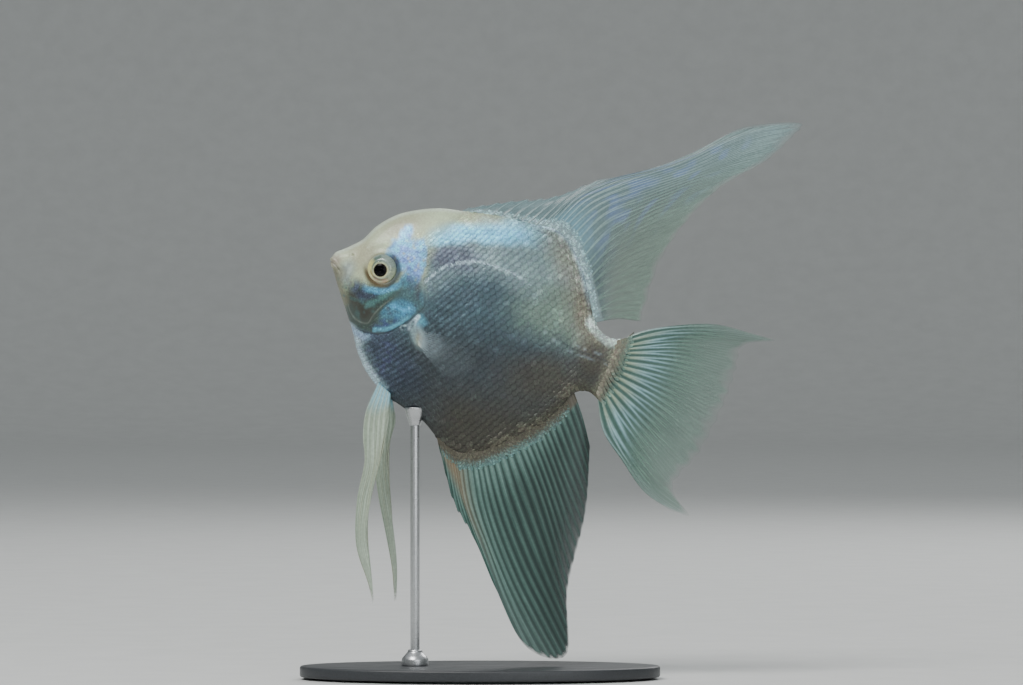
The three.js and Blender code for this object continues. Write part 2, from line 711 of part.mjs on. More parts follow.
// The height of the belly's edge over the rod, in the stand's frame.
function bellyOverRod() {

	let best = Infinity;
	let height = 0;

	for ( let i = 0; i <= 400; i ++ ) {

		const point = bellyLine.getPoint( i / 400 ).applyMatrix4( fish.matrix );
		const miss = Math.abs( point.x - ROD.x );

		if ( miss < best ) {

			best = miss;
			height = point.z;

		}

	}

	return height;

}

function standBase() {

	const halfLength = BASE.halfLength - BASE.bevel;
	const halfDepth = BASE.halfDepth - BASE.bevel;
	const oval = new THREE.Shape().absellipse( 0, 0, halfLength, halfDepth, 0, 2 * Math.PI );
	const plate = new THREE.ExtrudeGeometry( oval, {
		depth: BASE.height - 2 * BASE.bevel,
		curveSegments: 16,
		bevelSize: BASE.bevel,
		bevelThickness: BASE.bevel,
		bevelSegments: 2,
	} );
	return solid( plate.translate( 0, 0, BASE.bevel ) );

}

function standCollar() {

	const profile = [ [ 0, 0 ], [ 1, 0 ], [ 1, 0.35 ], [ 0.86, 0.6 ], [ 0.55, 0.9 ], [ 0.5, 1 ], [ 0, 1 ] ];
	const ring = profile.map( ( [ r, h ] ) => new THREE.Vector2( r * COLLAR.radius, h * COLLAR.height ) );
	return solid( upright( new THREE.LatheGeometry( ring, 18 ), BASE.height + GAP ) );

}

// Stands a part that is drawn around the Y axis up on +Z, at the rod's place.
function upright( geometry, height ) {

	return geometry.rotateX( Math.PI / 2 ).translate( ROD.x, 0, height );

}

const bellyHeight = bellyOverRod();
const rodFoot = BASE.height + COLLAR.height + 2 * GAP;
const rodTop = bellyHeight + SADDLE.overlap - SADDLE.height - GAP;

function standRod() {

	const length = rodTop - rodFoot;
	const bar = new THREE.CylinderGeometry( ROD.radius, ROD.radius, length, 20 );
	return solid( upright( bar, rodFoot + length / 2 ) );

}

function standSaddle() {

	const cup = new THREE.CylinderGeometry( SADDLE.radius, ROD.radius, SADDLE.height, 20 );
	const held = solid( swollen( flesh, GAP ).applyMatrix4( fish.matrix ) );
	return largest( solid( upright( cup, rodTop + GAP + SADDLE.height / 2 ) ).subtract( held ) );

}

const stand = new THREE.Group();
addNode( stand, 'stand_base', geometryOf( standBase() ), BASE_PAINT );
addNode( stand, 'stand_collar', geometryOf( standCollar() ), STEEL );
addNode( stand, 'stand_rod', geometryOf( standRod() ), STEEL );
addNode( stand, 'stand_saddle', geometryOf( standSaddle() ), STEEL );

const model = new THREE.Group();
model.add( fish, stand );

export default model;
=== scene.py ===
# %% [markdown]
# # A freshwater angelfish on a display stand
# The fish hovers nose up, with every fin spread, and one steel rod carries it over an oval base.
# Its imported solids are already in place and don't move. This file dresses them: one skin for all
# the flesh, thousands of separate scales over it, ribbed fins, wet eyes and a finished stand.
#
# The body is drawn level, in percent of its standard length (snout to the end of the tail stem),
# and is then pitched and lifted into the room. That keeps every number readable: x = 50 is half
# way along the fish, and z = 10 is a tenth of its length above the snout.

import math

import bmesh
import bpy
import mathutils
import numpy as np
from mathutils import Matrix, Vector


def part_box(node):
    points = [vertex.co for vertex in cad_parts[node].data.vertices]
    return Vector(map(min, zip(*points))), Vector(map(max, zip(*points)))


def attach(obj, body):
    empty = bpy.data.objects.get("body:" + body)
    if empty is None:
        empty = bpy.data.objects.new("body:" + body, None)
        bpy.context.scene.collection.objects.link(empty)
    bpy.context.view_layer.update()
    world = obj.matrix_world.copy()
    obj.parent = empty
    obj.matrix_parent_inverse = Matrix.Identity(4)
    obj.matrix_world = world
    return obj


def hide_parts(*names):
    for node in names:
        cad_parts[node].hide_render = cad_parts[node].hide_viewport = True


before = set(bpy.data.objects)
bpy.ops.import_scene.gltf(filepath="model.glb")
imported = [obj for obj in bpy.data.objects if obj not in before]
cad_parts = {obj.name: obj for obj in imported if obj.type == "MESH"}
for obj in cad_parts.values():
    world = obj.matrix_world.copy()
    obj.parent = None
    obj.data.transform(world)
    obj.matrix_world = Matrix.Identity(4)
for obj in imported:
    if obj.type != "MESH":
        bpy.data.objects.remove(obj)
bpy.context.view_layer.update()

MM = 0.001
STANDARD_LENGTH = 80.0  # mm
MM_PER_PERCENT = STANDARD_LENGTH / 100
PITCH = math.radians(21.3)
SNOUT_AT = (-39.7, 111.0)  # x and z of the snout in the room, mm
LEFT, RIGHT = -1, 1

# %% [markdown]
# ## Two small frames
# The fish's own frame is in mm, with the snout at the origin. `to_room` pitches it, lifts it and
# gives metres. Working level and turning once at the end is simpler than drawing a tilted fish.


# %% From the fish's frame to the room
def percent(share):
    """Lengths in mm, from percent of the standard length."""
    return np.asarray(share, float) * STANDARD_LENGTH / 100


def in_percent(points):
    """x and z in percent, of points in mm."""
    return points[:, 0] / MM_PER_PERCENT, points[:, 2] / MM_PER_PERCENT


def flat(places):
    """Points in the middle plane, from places given as (x, z) in percent."""
    places = percent(places)
    return np.stack([places[:, 0], np.zeros(len(places)), places[:, 1]], 1)


def to_room(points):
    x, y, z = np.asarray(points, float).T
    cos, sin = math.cos(PITCH), math.sin(PITCH)
    return MM * np.stack([SNOUT_AT[0] + x * cos + z * sin, y, SNOUT_AT[1] - x * sin + z * cos], 1)


def smooth(low, high, value):
    """0 at low, 1 at high, and an even S between them."""
    share = np.clip((np.asarray(value, float) - low) / (high - low), 0, 1)
    return share * share * (3 - 2 * share)


# %% [markdown]
# ## Curves through a few points
# Every outline of the fish is a smooth curve through a handful of measured points. A centripetal
# Catmull-Rom curve passes through each point and never loops where points lie unevenly.


# %% A curve through knots, and the same curve by its length
def through(knots, t):
    """Points of the curve through knots (n, 3), at shares t from 0 to 1 of its pieces."""
    knots = np.asarray(knots, float)
    ends = np.vstack([2 * knots[0] - knots[1], knots, 2 * knots[-1] - knots[-2]])
    place = np.clip(t, 0, 1) * (len(knots) - 1)
    i = np.minimum(place.astype(int), len(knots) - 2)
    w = (place - i)[:, None]
    a, b, c, d = (ends[i + k] for k in range(4))
    before, step, after = (
        np.sqrt(np.linalg.norm(end - start, axis=1))[:, None] for start, end in ((a, b), (b, c), (c, d)))
    step = np.where(step < 1e-4, 1, step)
    before = np.where(before < 1e-4, step, before)
    after = np.where(after < 1e-4, step, after)
    leave = ((b - a) / before - (c - a) / (before + step) + (c - b) / step) * step
    arrive = ((c - b) / step - (d - b) / (step + after) + (d - c) / after) * step
    return b + w * (leave + w * (3 * (c - b) - 2 * leave - arrive + w * (2 * (b - c) + leave + arrive)))


def by_length(knots, share):
    """Points of the same curve at shares of its length, and that length."""
    t = np.linspace(0, 1, 201)
    steps = np.linalg.norm(np.diff(through(knots, t), axis=0), axis=1)
    run = np.concatenate([[0], np.cumsum(steps)])
    return through(knots, np.interp(np.asarray(share) * run[-1], run, t)), run[-1]


def line_through(places, steps=6):
    """A smooth line of (x, z) places, in percent, for measuring distances to."""
    knots = np.array([(x, 0, z) for x, z in places], float)
    return through(knots, np.linspace(0, 1, steps * (len(places) - 1) + 1))[:, [0, 2]]


# %% [markdown]
# ## The body's form
# An angelfish is a tall disc, barely a fifth as thick as it is long, with a lens-shaped section.
# Twenty-three stations say where the back and the belly run, how thick the fish is there, and how
# sharp its keel is. A station leans where the back and the belly bulge at different places.

# %% Stations from the lips to the tail's root
# Back x, back z, belly x, belly z, half width (percent), keel (0 is an oval, 1 a lens).
STATIONS = np.array([
    [-0.2, 0.9, -0.2, -0.3, 0.7, 0],
    [0.6, 3.1, 0.6, -1.5, 2.1, 0],
    [2.2, 4.6, 2.2, -3.3, 3.0, 0],
    [4.6, 7.0, 4.6, -6.4, 3.9, 0],
    [7.4, 10.3, 7.9, -10.5, 5.1, 0],
    [10.0, 15.9, 11.2, -14.4, 6.4, 0.1],
    [15.0, 22.0, 15.4, -19.9, 7.9, 0.3],
    [21.5, 26.4, 20.0, -26.3, 9.1, 0.6],
    [28.0, 29.4, 26.0, -31.6, 10.1, 0.8],
    [34.1, 31.0, 32.5, -35.0, 10.6, 1],
    [41.5, 33.2, 39.5, -37.0, 10.2, 1],
    [50.0, 35.1, 47.5, -38.8, 9.2, 1],
    [58.5, 36.3, 54.5, -42.5, 7.6, 1],
    [65.4, 37.6, 60.7, -44.9, 6.1, 1],
    [70.5, 36.3, 67.0, -43.7, 5.1, 1],
    [75.5, 32.4, 73.0, -39.4, 4.3, 0.9],
    [80.5, 26.8, 79.0, -33.1, 3.6, 0.8],
    [85.3, 19.8, 84.5, -27.0, 3.1, 0.7],
    [88.8, 14.2, 88.8, -19.5, 2.8, 0.5],
    [91.5, 11.1, 92.0, -11.6, 2.5, 0.3],
    [95.0, 9.8, 95.3, -9.9, 2.2, 0.2],
    [98.0, 10.1, 98.0, -10.4, 2.0, 0.2],
    [100.3, 11.2, 99.6, -11.2, 1.6, 0.2],
])
RIM = 0.8  # radius of the rounded edge along back and belly, mm
KEEL_SHARPNESS = 0.45

BACK = flat(STATIONS[:, 0:2])
BELLY = flat(STATIONS[:, 2:4])
GIRTH = np.stack([percent(STATIONS[:, 4]), STATIONS[:, 5], np.zeros(len(STATIONS))], 1)


def flank(t, angle):
    """Points of the flank: t runs from lips to tail, angle from belly (-90) over the right side."""
    back, belly = through(BACK, t), through(BELLY, t)
    half_width, keel = through(GIRTH, t)[:, :2].T
    points = belly + (back - belly) * ((1 + np.sin(angle)) / 2)[:, None]
    across = np.cos(angle)
    rim = np.minimum(RIM, half_width / 2)
    lens = np.abs(across) ** (1 + KEEL_SHARPNESS * keel)
    points[:, 1] = np.sign(across) * ((half_width - rim) * lens + rim * np.abs(across))
    return points


def flank_frame(t, angle):
    """The outward normal, the tailward and the upward direction at places of the flank."""
    dt, da = 2e-3, 0.03
    inner = np.clip(t, dt, 1 - dt)
    tailward = flank(inner + dt, angle) - flank(inner - dt, angle)
    upward = flank(inner, angle + da) - flank(inner, angle - da)
    normal = np.cross(upward, tailward)
    normal /= np.linalg.norm(normal, axis=1)[:, None]
    upward /= np.linalg.norm(upward, axis=1)[:, None]
    return normal, np.cross(upward, normal), upward


def place_on_flank(x, z):
    """t and angle (right side) of places given in mm, found by halving."""
    low, high = np.zeros(len(x)), np.ones(len(x))
    for _ in range(26):
        t = (low + high) / 2
        back, belly = through(BACK, t), through(BELLY, t)
        share = np.clip((z - belly[:, 2]) / (back[:, 2] - belly[:, 2]), 0, 1)
        ahead = belly[:, 0] + share * (back[:, 0] - belly[:, 0]) < x
        low, high = np.where(ahead, t, low), np.where(ahead, high, t)
    return t, np.arcsin(2 * share - 1)


def flank_depth(x, z):
    """How far the flank stands out from the middle plane, at a place in percent."""
    return float(flank(*place_on_flank(percent([x]), percent([z])))[0, 1])


print("greatest thickness, mm:", round(2 * GIRTH[:, 0].max(), 1))

# %% [markdown]
# ## Masks
# Markings and relief are both painted by place: near a line, inside an outline, or within a soft
# spot. `mottle` is a gentle random field, the same on every run, which keeps edges from looking
# ruled.


# %% Near a line, inside an outline, within a spot
def off_line(x, z, line):
    """Distance from places to a line of points."""
    best = np.full(len(x), np.inf)
    for (ax, az), (bx, bz) in zip(line[:-1], line[1:]):
        dx, dz = bx - ax, bz - az
        share = np.clip(((x - ax) * dx + (z - az) * dz) / (dx * dx + dz * dz + 1e-12), 0, 1)
        best = np.minimum(best, np.hypot(x - ax - share * dx, z - az - share * dz))
    return best


def within(x, z, outline):
    """How far inside a closed outline places are, and negative outside it."""
    closed = np.vstack([outline, outline[:1]])
    inside = np.zeros(len(x), bool)
    for (ax, az), (bx, bz) in zip(closed[:-1], closed[1:]):
        crosses = (az > z) != (bz > z)
        rise = bz - az if bz != az else 1e-12
        inside ^= crosses & (x < (bx - ax) * (z - az) / rise + ax)
    away = off_line(x, z, closed)
    return np.where(inside, away, -away)


def spot(x, z, centre, radii, turn, soft):
    """1 inside an oval spot and 0 outside it. The turn is in degrees."""
    cos, sin = math.cos(math.radians(turn)), math.sin(math.radians(turn))
    dx, dz = x - centre[0], z - centre[1]
    away = np.hypot((dx * cos + dz * sin) / radii[0], (dz * cos - dx * sin) / radii[1])
    return smooth(1 + soft, 1 - soft, away)


def mottle(points, size, seed):
    """A smooth random field from -1 to 1, with cells of the given size."""
    place = np.asarray(points, float) / size + 31.7 * (seed + 1)
    cell = np.floor(place).astype(np.int64)
    w = place - cell
    w = w * w * (3 - 2 * w)
    total = 0
    for dx, dy, dz in np.ndindex(2, 2, 2):
        n = (cell[:, 0] + dx) * 73856093 ^ (cell[:, 1] + dy) * 19349663 ^ (cell[:, 2] + dz) * 83492791
        n = (n ^ (n >> 13)) * 1274126177 & 0x7FFFFFFF
        n = (n ^ (n >> 15)) * 668265263 & 0x7FFFFFFF
        share = np.prod([w[:, k] if d else 1 - w[:, k] for k, d in enumerate((dx, dy, dz))], axis=0)
        total = total + share * (n / 0x3FFFFFFF - 1)
    return total


# %% [markdown]
# ## The head's landmarks
# The eye, nostril, mouth, the gill cover with its free rear edge and the bony line in front of it.
# The same lines guide both the relief and the markings, so a crease and the painted shade along it coincide.

# %% Landmarks of the head, in percent
EYE_AT = (17.28, 3.39)
EYE = {"radius": 4.08, "bulge": 2.4, "depth": 1.12, "turn": math.radians(10)}
NOSTRIL_AT = (6.2, 4.2)
MOUTH = line_through([(-1.5, -0.3), (0.2, -0.5), (1.9, -1.1), (3.6, -2.0)])
LIP_UP = line_through([(0.3, 0.6), (1.4, 0.3), (2.4, -0.4), (3.5, -1.2)])
LIP_LOW = line_through([(0.9, -1.5), (1.7, -2.0), (2.5, -2.6), (3.5, -3.1)])
JAW_FOLD = line_through([(3.6, -2.0), (4.7, -3.2), (5.3, -5.4)])
COVER_REAR = line_through([
    (23.9, 7.4), (27.9, 7.7), (31.1, 5.2), (33.3, 1.2), (34.6, -3.3), (31.8, -9.1),
    (28.7, -13.1), (25.6, -16.1), (20.9, -17.9), (16.3, -18.0), (13.9, -17.4),
])
COVER_FRONT = line_through([
    (23.9, 7.4), (24.1, 1.4), (24.9, -3.5), (22.3, -7.7), (20.7, -11.9), (19.4, -15.2), (16.4, -16.6),
    (13.9, -17.4),
])
COVER = np.vstack([COVER_REAR, COVER_FRONT[::-1]])
HEAD = np.vstack([
    line_through([(36, 34), (33.6, 28.2), (30.4, 23), (28.3, 18), (28.8, 13.6), (30.2, 9.6), (31.2, 6.4)], 3),
    COVER_REAR[12:],
    line_through([(13.9, -17.4), (10, -16.6), (-6, -13)], 2),
    [(-6, 30), (20, 40)],
])
CHEEK_FOLDS = [
    line_through([(10.8, -11.7), (12.0, -13.3), (14.1, -14.9), (16.6, -15.6), (19.2, -15.0)]),
    line_through([(9.0, -3.4), (12.6, -6.6), (16.6, -7.8), (20.0, -6.6), (23.2, -3.0)]),
    line_through([(20.6, 12.5), (21.6, 15.8), (21.2, 20.0)]),
]
LATERAL_LINE = line_through([
    (31.9, 4.2), (35.0, 10.1), (38.9, 13.7), (43.4, 16.2), (48.2, 17.4), (53.4, 17.9), (58.9, 17.6),
    (64.7, 16.3),
])
LATERAL_REAR = line_through([(75.8, 4.5), (84.6, 1.9), (95.3, 2.1), (99.7, 1.7)])
PECTORAL_BASE = {"at": (36.2, -12.9), "radii": (4.3, 2.1), "turn": -49.0}


def pectoral_base(x, z, share=1.0, soft=0.25):
    """1 on the fleshy base of the pectoral fin, or on a share of it, and 0 off it."""
    radii = [share * radius for radius in PECTORAL_BASE["radii"]]
    return spot(x, z, PECTORAL_BASE["at"], radii, PECTORAL_BASE["turn"], soft)


def scaled_share(x, z):
    """1 where the skin carries scales, and 0 on the bare head and the pectoral's base."""
    soft = 2.4 * smooth(9, 18, z)
    return smooth(0.25 + soft, -0.35 - soft, within(x, z, HEAD)) * (1 - pectoral_base(x, z))


def eye_distance(x, z):
    """Distance in mm from the middle of the eye."""
    return np.hypot(percent(x - EYE_AT[0]), percent(z - EYE_AT[1]))


# %% [markdown]
# ## Relief of the head
# The plain form is a smooth lens. Over it stand the lips, the rim round the eye, the gill cover
# with the slit behind it, and the thin bony ridges of the cheek. Each is a height in mm, worked
# out from the distance to its landmark.


# %% How far the skin stands out from the plain form
def bell(away, middle, width):
    """1 at the middle distance, and falling off to both sides over the width."""
    return np.exp(-(((away - middle) / width) ** 2))


def relief(x, z):
    """Height of the head's relief in mm, at places in percent."""
    away = eye_distance(x, z)
    rim = 0.04 * bell(away, 4.4, 0.7) - 0.07 * bell(away, 5.6, 0.8)

    def beside(line, width):
        return bell(percent(off_line(x, z, line)), 0, width)

    lips = sum(0.15 * beside(lip, 0.34) for lip in (LIP_UP, LIP_LOW))
    cleft = -0.24 * beside(MOUTH, 0.15)
    fold = -0.14 * beside(JAW_FOLD, 0.25)

    hole = np.hypot(percent(x - NOSTRIL_AT[0]) / 1.2, percent(z - NOSTRIL_AT[1]))
    nostril = 0.03 * bell(hole, 0.55, 0.25) - 0.3 * bell(hole, 0, 0.26)

    inside = percent(within(x, z, COVER))
    rear, front = percent(off_line(x, z, COVER_REAR)), percent(off_line(x, z, COVER_FRONT))
    low = 0.08 * smooth(8.5, 3.5, z) + 0.55 * smooth(-3, -10, z)
    plate = 0.2 * smooth(-0.02, 0.25, inside) * smooth(-0.1, 1.4, front) * low
    lip_edge = 0.1 * bell(rear, 0.3, 0.28) * (inside > 0) * low
    slit = -0.09 * bell(rear, 0, 0.4) * (inside < 0) * smooth(0.0, 1.2, front) * (0.15 + 0.85 * low)
    bone = (0.05 * bell(front, 0.35, 0.3) * (inside < 0) - 0.06 * bell(front, 0, 0.2)) * low
    cheek = sum(-0.04 * beside(fold_line, 0.22) for fold_line in CHEEK_FOLDS)
    lobe = 0.4 * pectoral_base(x, z, 1.0, 0.55) - 0.12 * pectoral_base(x, z, 0.45, 0.6)
    return rim + lips + cleft + fold + nostril + plate + lip_edge + slit + bone + cheek + lobe


# %% [markdown]
# ## Markings
# A pale platinum angelfish: cream forehead and nape, a sky-blue band under the back, lavender
# freckles behind the eye, a turquoise gill cover with a violet rim, and a slate flank that turns
# pinkish brown towards the tail. The band's iridescent blue carries a painted reflection of the lamp
# above, and the flank's dark lower half is partly painted shade. One function gives the colour for a
# place on the fish, and both the skin and every scale ask it, so that the two can't disagree.


# %% The palette
def colour(red, green, blue):
    """A colour as a screen shows it, 0 to 255, made linear for the renderer."""
    shown = np.array([red, green, blue]) / 255
    return np.where(shown <= 0.04045, shown / 12.92, ((shown + 0.055) / 1.055) ** 2.4)


CREAM = colour(188, 198, 164)
TAN = colour(168, 162, 134)
PINK = colour(184, 160, 148)
PALE_EDGE = colour(200, 208, 192)
LIP_GREY = colour(150, 160, 164)
SLATE = colour(70, 88, 96)
SLATE_GREEN = colour(106, 124, 112)
UPPER_GREY = colour(128, 148, 150)
UPPER_DARK = colour(92, 96, 112)
SKY = colour(132, 214, 250)
LAVENDER = colour(112, 142, 222)
VIOLET = colour(66, 62, 104)
TURQUOISE = colour(72, 164, 196)
CYAN = colour(96, 166, 188)
SEA_GREEN = colour(92, 136, 132)
CHEEK_BROWN = colour(52, 48, 40)
CHEEK_GREY = colour(66, 78, 72)
CHEEK_LILAC = colour(88, 96, 122)
COVER_GREY = colour(76, 86, 94)
COVER_TEAL = colour(74, 100, 104)
BELLY_DARK_AND_SHADE = colour(58, 64, 68)
BELLY_BROWN = colour(66, 62, 52)
CHEST = colour(58, 66, 80)
PINK_BROWN = colour(126, 120, 104)
RUST = colour(104, 84, 70)
IRIS_BROWN = colour(120, 100, 66)
STEM_WHITE = colour(188, 202, 194)
STEM_GREY = colour(104, 100, 84)
SILVER = colour(198, 220, 230)


def over(base, top, mask):
    """Lays one colour over another where the mask says."""
    mask = np.asarray(mask)[:, None]
    return base * (1 - mask) + top * mask


# %% Lines that the colours follow
BACK_LINE = line_through(STATIONS[:, 0:2])
BELLY_LINE = line_through(STATIONS[:, 2:4])
SKY_BAND_AND_REFLECTION = line_through([(24, 17), (28, 20), (33, 22.6), (40, 26.2), (48, 29), (56, 31.4), (63, 33)])
STEM_TOP = line_through([(88.8, 13.4), (92.5, 9.6), (97, 8.8), (101, 9.6)])
SADDLE_EDGE = line_through([(70, 36), (76, 31.5), (81.5, 25), (86, 18.5), (90.5, 12.5)])
CHEST_EDGE = line_through([(13, -18.2), (17, -22), (21, -26.6), (26, -31), (31, -34)])
JAW_EDGE = line_through([(2.4, -3.4), (4.4, -5.6), (6.9, -8.2), (9.2, -11)])
CHIN_RIM = line_through([(8.9, -10.2), (9.9, -13.0), (12.0, -16.0), (15.4, -17.4), (18.6, -17.6)])
CHEEK_RIM = line_through([
    (10.8, -11.7), (12.0, -13.3), (14.1, -14.9), (16.6, -15.6), (19.2, -15.0),
    (19.8, -12.6), (20.7, -9.9), (22.1, -7.1), (23.9, -4.3),
])
THROAT_RIM = line_through([
    (14.0, -17.5), (16.9, -18.5), (19.7, -19.1), (22.2, -18.2), (24.7, -17.2), (27.3, -15.6),
])
CYAN_RIM = line_through([(22.2, -16.2), (25.2, -15.0), (27.9, -12.8), (29.6, -10.9), (31.2, -8.4)])
UNDER_EYE = line_through([
    (12.6, -3.4), (14.9, -4.4), (17.7, -3.9), (21.4, -2.5), (23.9, 0.1), (25.2, 3.4),
])
UNDER_EYE_SHADE = line_through([(13.4, -6.8), (15.0, -6.9), (16.8, -6.2), (18.6, -5.6)])
UNDER_EYE_LOW = line_through([(17.0, -9.2), (20.0, -6.0), (22.8, -2.6), (24.9, 1.2)])
COVER_GLINT = line_through([(30.6, -12.2), (32.2, -11.4), (33.3, -9.4), (34.0, -7.0)])


# %% Places to colour, with loosened edges and random fields
class Places:
    """Places in percent. y (mm) only varies the mottling."""

    def __init__(self, x, z, y):
        self.x, self.z = x, z
        self.mm = np.stack([percent(x), np.broadcast_to(y, np.shape(x)), percent(z)], 1)
        self.wide, self.mid, self.fine = self.field(9, 1), self.field(3.2, 2), self.field(1.1, 3)
        self.into_head = within(x, z, HEAD)
        loose = 1 - 0.65 * smooth(-2, 2, self.into_head)
        self.xs = x + loose * (0.9 * self.mid + 0.5 * self.wide)
        self.zs = z + loose * (0.9 * self.field(3.2, 4) + 0.5 * self.wide)
        self.top, self.keel = off_line(x, z, BACK_LINE), off_line(x, z, BELLY_LINE)

    def field(self, size, seed):
        return mottle(self.mm, size, seed)

    def patch(self, centre, radii, turn, soft):
        """1 inside an oval patch with a loosened edge, and 0 outside it."""
        return spot(self.xs, self.zs, centre, radii, turn, soft)

    def near(self, line, reach, core, ragged=0.0):
        """1 within core of a line and 0 past its reach, with loosened edges."""
        return smooth(reach, core, off_line(self.xs, self.zs, line) + ragged)

    def traced(self, line, reach, core, ragged=0.0):
        """The same with crisp edges, for a stroke that follows a crease."""
        return smooth(reach, core, off_line(self.x, self.z, line) + ragged)


def coats(base, *layers):
    """Lays colours over a base one after another, each where its own mask says."""
    for tone, mask in layers:
        base = over(base, tone, mask)
    return base


# %% The scaled flank: paler above, dark below with partly painted shade, pinkish brown towards the tail
def flank_colours(at):
    xs, zs, mid, fine, top = at.xs, at.zs, at.mid, at.fine, at.top
    upper = smooth(13.5, 18.5, zs - 0.12 * (xs - 45)) * smooth(24, 34, xs)
    rusty = 0.4 * at.patch((84, 15.5), (3, 7), 30, 0.6) + 0.4 * at.patch((93, 3.5), (4.4, 6), 10, 0.6)
    silver_back = smooth(2.6, 0.5, top) * smooth(54, 64, xs) * smooth(88, 80, xs)
    groove = off_line(at.x, at.z, LATERAL_REAR)
    return coats(
        SLATE,
        (SLATE_GREEN, smooth(52, 74, xs) * smooth(-6, 8, zs)),
        (UPPER_GREY, upper * (1 - 0.4 * smooth(50, 60, xs))),
        (UPPER_GREY, 0.5 * at.near(LATERAL_LINE, 8.5, 1.0)),
        (UPPER_DARK, 0.85 * at.patch((38, 15.6), (9.6, 4.2), 14, 0.6)),
        # Dark below the middle: the belly's own dark tone, partly painted shade of the underside.
        (BELLY_DARK_AND_SHADE, smooth(5, -14, zs - 0.22 * (xs - 60)) * smooth(26, 40, xs)),
        (BELLY_BROWN, 0.85 * smooth(-16, -34, zs - 0.2 * (xs - 60)) * smooth(40, 60, xs)),
        (BELLY_BROWN * 1.15, 0.75 * at.patch((82, -11), (14, 8), 20, 0.7)),
        (CHEST, 0.85 * at.patch((29, -24), (13, 8), -30, 0.5)),
        (VIOLET, 0.35 * smooth(0.1, 0.7, fine + 0.4 * mid) * at.patch((25, -22), (9, 6), -30, 0.5)),
        (UPPER_GREY * 0.6, 0.7 * at.near(CHEST_EDGE, 6.5, 1.5) * smooth(34, 24, xs)),
        (PINK_BROWN, 0.7 * at.near(SADDLE_EDGE, 13, 3.5) * smooth(56, 74, xs)),
        # Lighter along the belly's keel: a paler edge, painted lighter still to offset the shade of its
        # rounded rim.
        (BELLY_BROWN * 1.7, 0.7 * smooth(5, 0.8, at.keel + 0.8 * mid) * smooth(58, 72, xs)),
        (RUST, rusty),
        (BELLY_BROWN, 0.75 * at.patch((94, 0), (5, 6), 10, 0.7)),
        # Sky-blue band under the back: iridescent colour with a painted reflection of the lamp above.
        (SKY, 0.97 * at.near(SKY_BAND_AND_REFLECTION, 5.6, 1.8) * smooth(66, 50, xs + 3 * mid)),
        (CREAM, 0.9 * smooth(6.2, 2.8, top + 0.6 * mid) * smooth(56, 36, xs)),
        (TAN, 0.4 * smooth(4.5, 2.4, top) * smooth(66, 40, xs)),
        (SILVER * (0.55, 0.62, 0.68), 0.6 * silver_back),
        (STEM_GREY, 0.8 * smooth(95.5, 99, xs)),
        (STEM_WHITE, 0.9 * at.near(STEM_TOP, 2.9, 0.6, 0.5 * fine)),
        (SILVER, 0.6 * at.near(CHEST_EDGE, 3.4, 0.8)),
        (SILVER, 0.45 * at.traced(LATERAL_LINE, 0.9, 0.3) * smooth(-0.5, 0.4, fine)),
        # A painted shade line along the groove of the rear lateral line, with paler dashes beside it.
        (BELLY_DARK_AND_SHADE * 0.7, 0.5 * smooth(0.5, 0.1, groove)),
        (SILVER * 0.45, 0.3 * smooth(0.7, 0.2, np.abs(groove - 1.2)) * smooth(0.0, 0.5, fine)))


# %% Forehead, lips and cheek, with two brown patches under a pale blue band and a lavender one
def snout_and_cheek_colours(at):
    xs, mid, fine = at.xs, at.mid, at.fine
    jowl = smooth(-1.5, -6.0, at.zs - 0.25 * (xs - 10))
    return coats(
        CREAM,
        (TAN, 0.85 * at.patch((9.6, 5.4), (4.8, 5.6), 40, 0.8)),
        (TAN * 0.85, 0.8 * at.patch((18, 19.6), (8, 3.2), 40, 0.8)),
        (PINK * 0.6, 0.75 * at.patch((1.6, 0.0), (2.2, 2.8), 0, 0.7)),
        (LIP_GREY * 0.7, 0.8 * at.patch((6.2, -2.2), (2.4, 4.6), -10, 0.6)),
        (PALE_EDGE, 0.35 * at.patch((6.4, -0.4), (2.4, 3.6), -10, 0.6) * smooth(0.05, 0.5, fine)),
        (TAN * 0.62, 0.75 * at.patch((4.2, -3.0), (2.4, 2.4), -40, 0.7)),
        (CHEEK_GREY, jowl * smooth(5.5, 11.5, xs)),
        (TAN * 0.42, 0.85 * at.near(JAW_EDGE, 2.6, 0.3)),
        (CHEEK_BROWN * 1.7, 0.75 * at.patch((12.0, -8.9), (3.0, 1.9), -35, 0.9)),
        (CHEEK_BROWN, 0.95 * at.patch((16.9, -11.8), (3.2, 2.6), -10, 0.9)),
        (SEA_GREEN * 0.5, 0.55 * jowl * smooth(0.1, 0.7, fine + 0.3 * mid)),
        (CHEEK_LILAC, 0.75 * at.patch((12.2, -5.4), (3.8, 1.9), -25, 0.8) * smooth(-0.9, 0.2, fine)),
        (COVER_GREY * (0.6, 0.55, 0.7), 0.8 * at.near(UNDER_EYE_SHADE, 1.9, 0.3, 0.4 * fine)),
        (SEA_GREEN * 0.85, 0.8 * at.near(UNDER_EYE_LOW, 1.7, 0.3, 0.7 * fine)),
        (CYAN * (0.9, 0.95, 1.1), 0.85 * at.near(UNDER_EYE, 1.7, 0.3, 0.4 * fine) * smooth(12, 16, at.x)),
        (PALE_EDGE * 0.4, (0.36 + 0.3 * fine) * at.traced(CHEEK_RIM, 0.34, 0.08)),
        (PALE_EDGE * 0.4, (0.26 + 0.3 * fine) * at.traced(CHIN_RIM, 0.34, 0.08)))


# %% Freckles of silver, sky and lavender behind the eye, up to a pale notch in the nape
def shining_patch(at):
    low = np.maximum(at.patch((22.4, 10.6), (5.4, 5.8), -35, 0.6), at.patch((27.0, 9.0), (3.1, 8.4), 8, 0.4))
    return np.maximum(low, 0.9 * at.patch((20.4, 16.0), (2.2, 4.4), -8, 0.5))


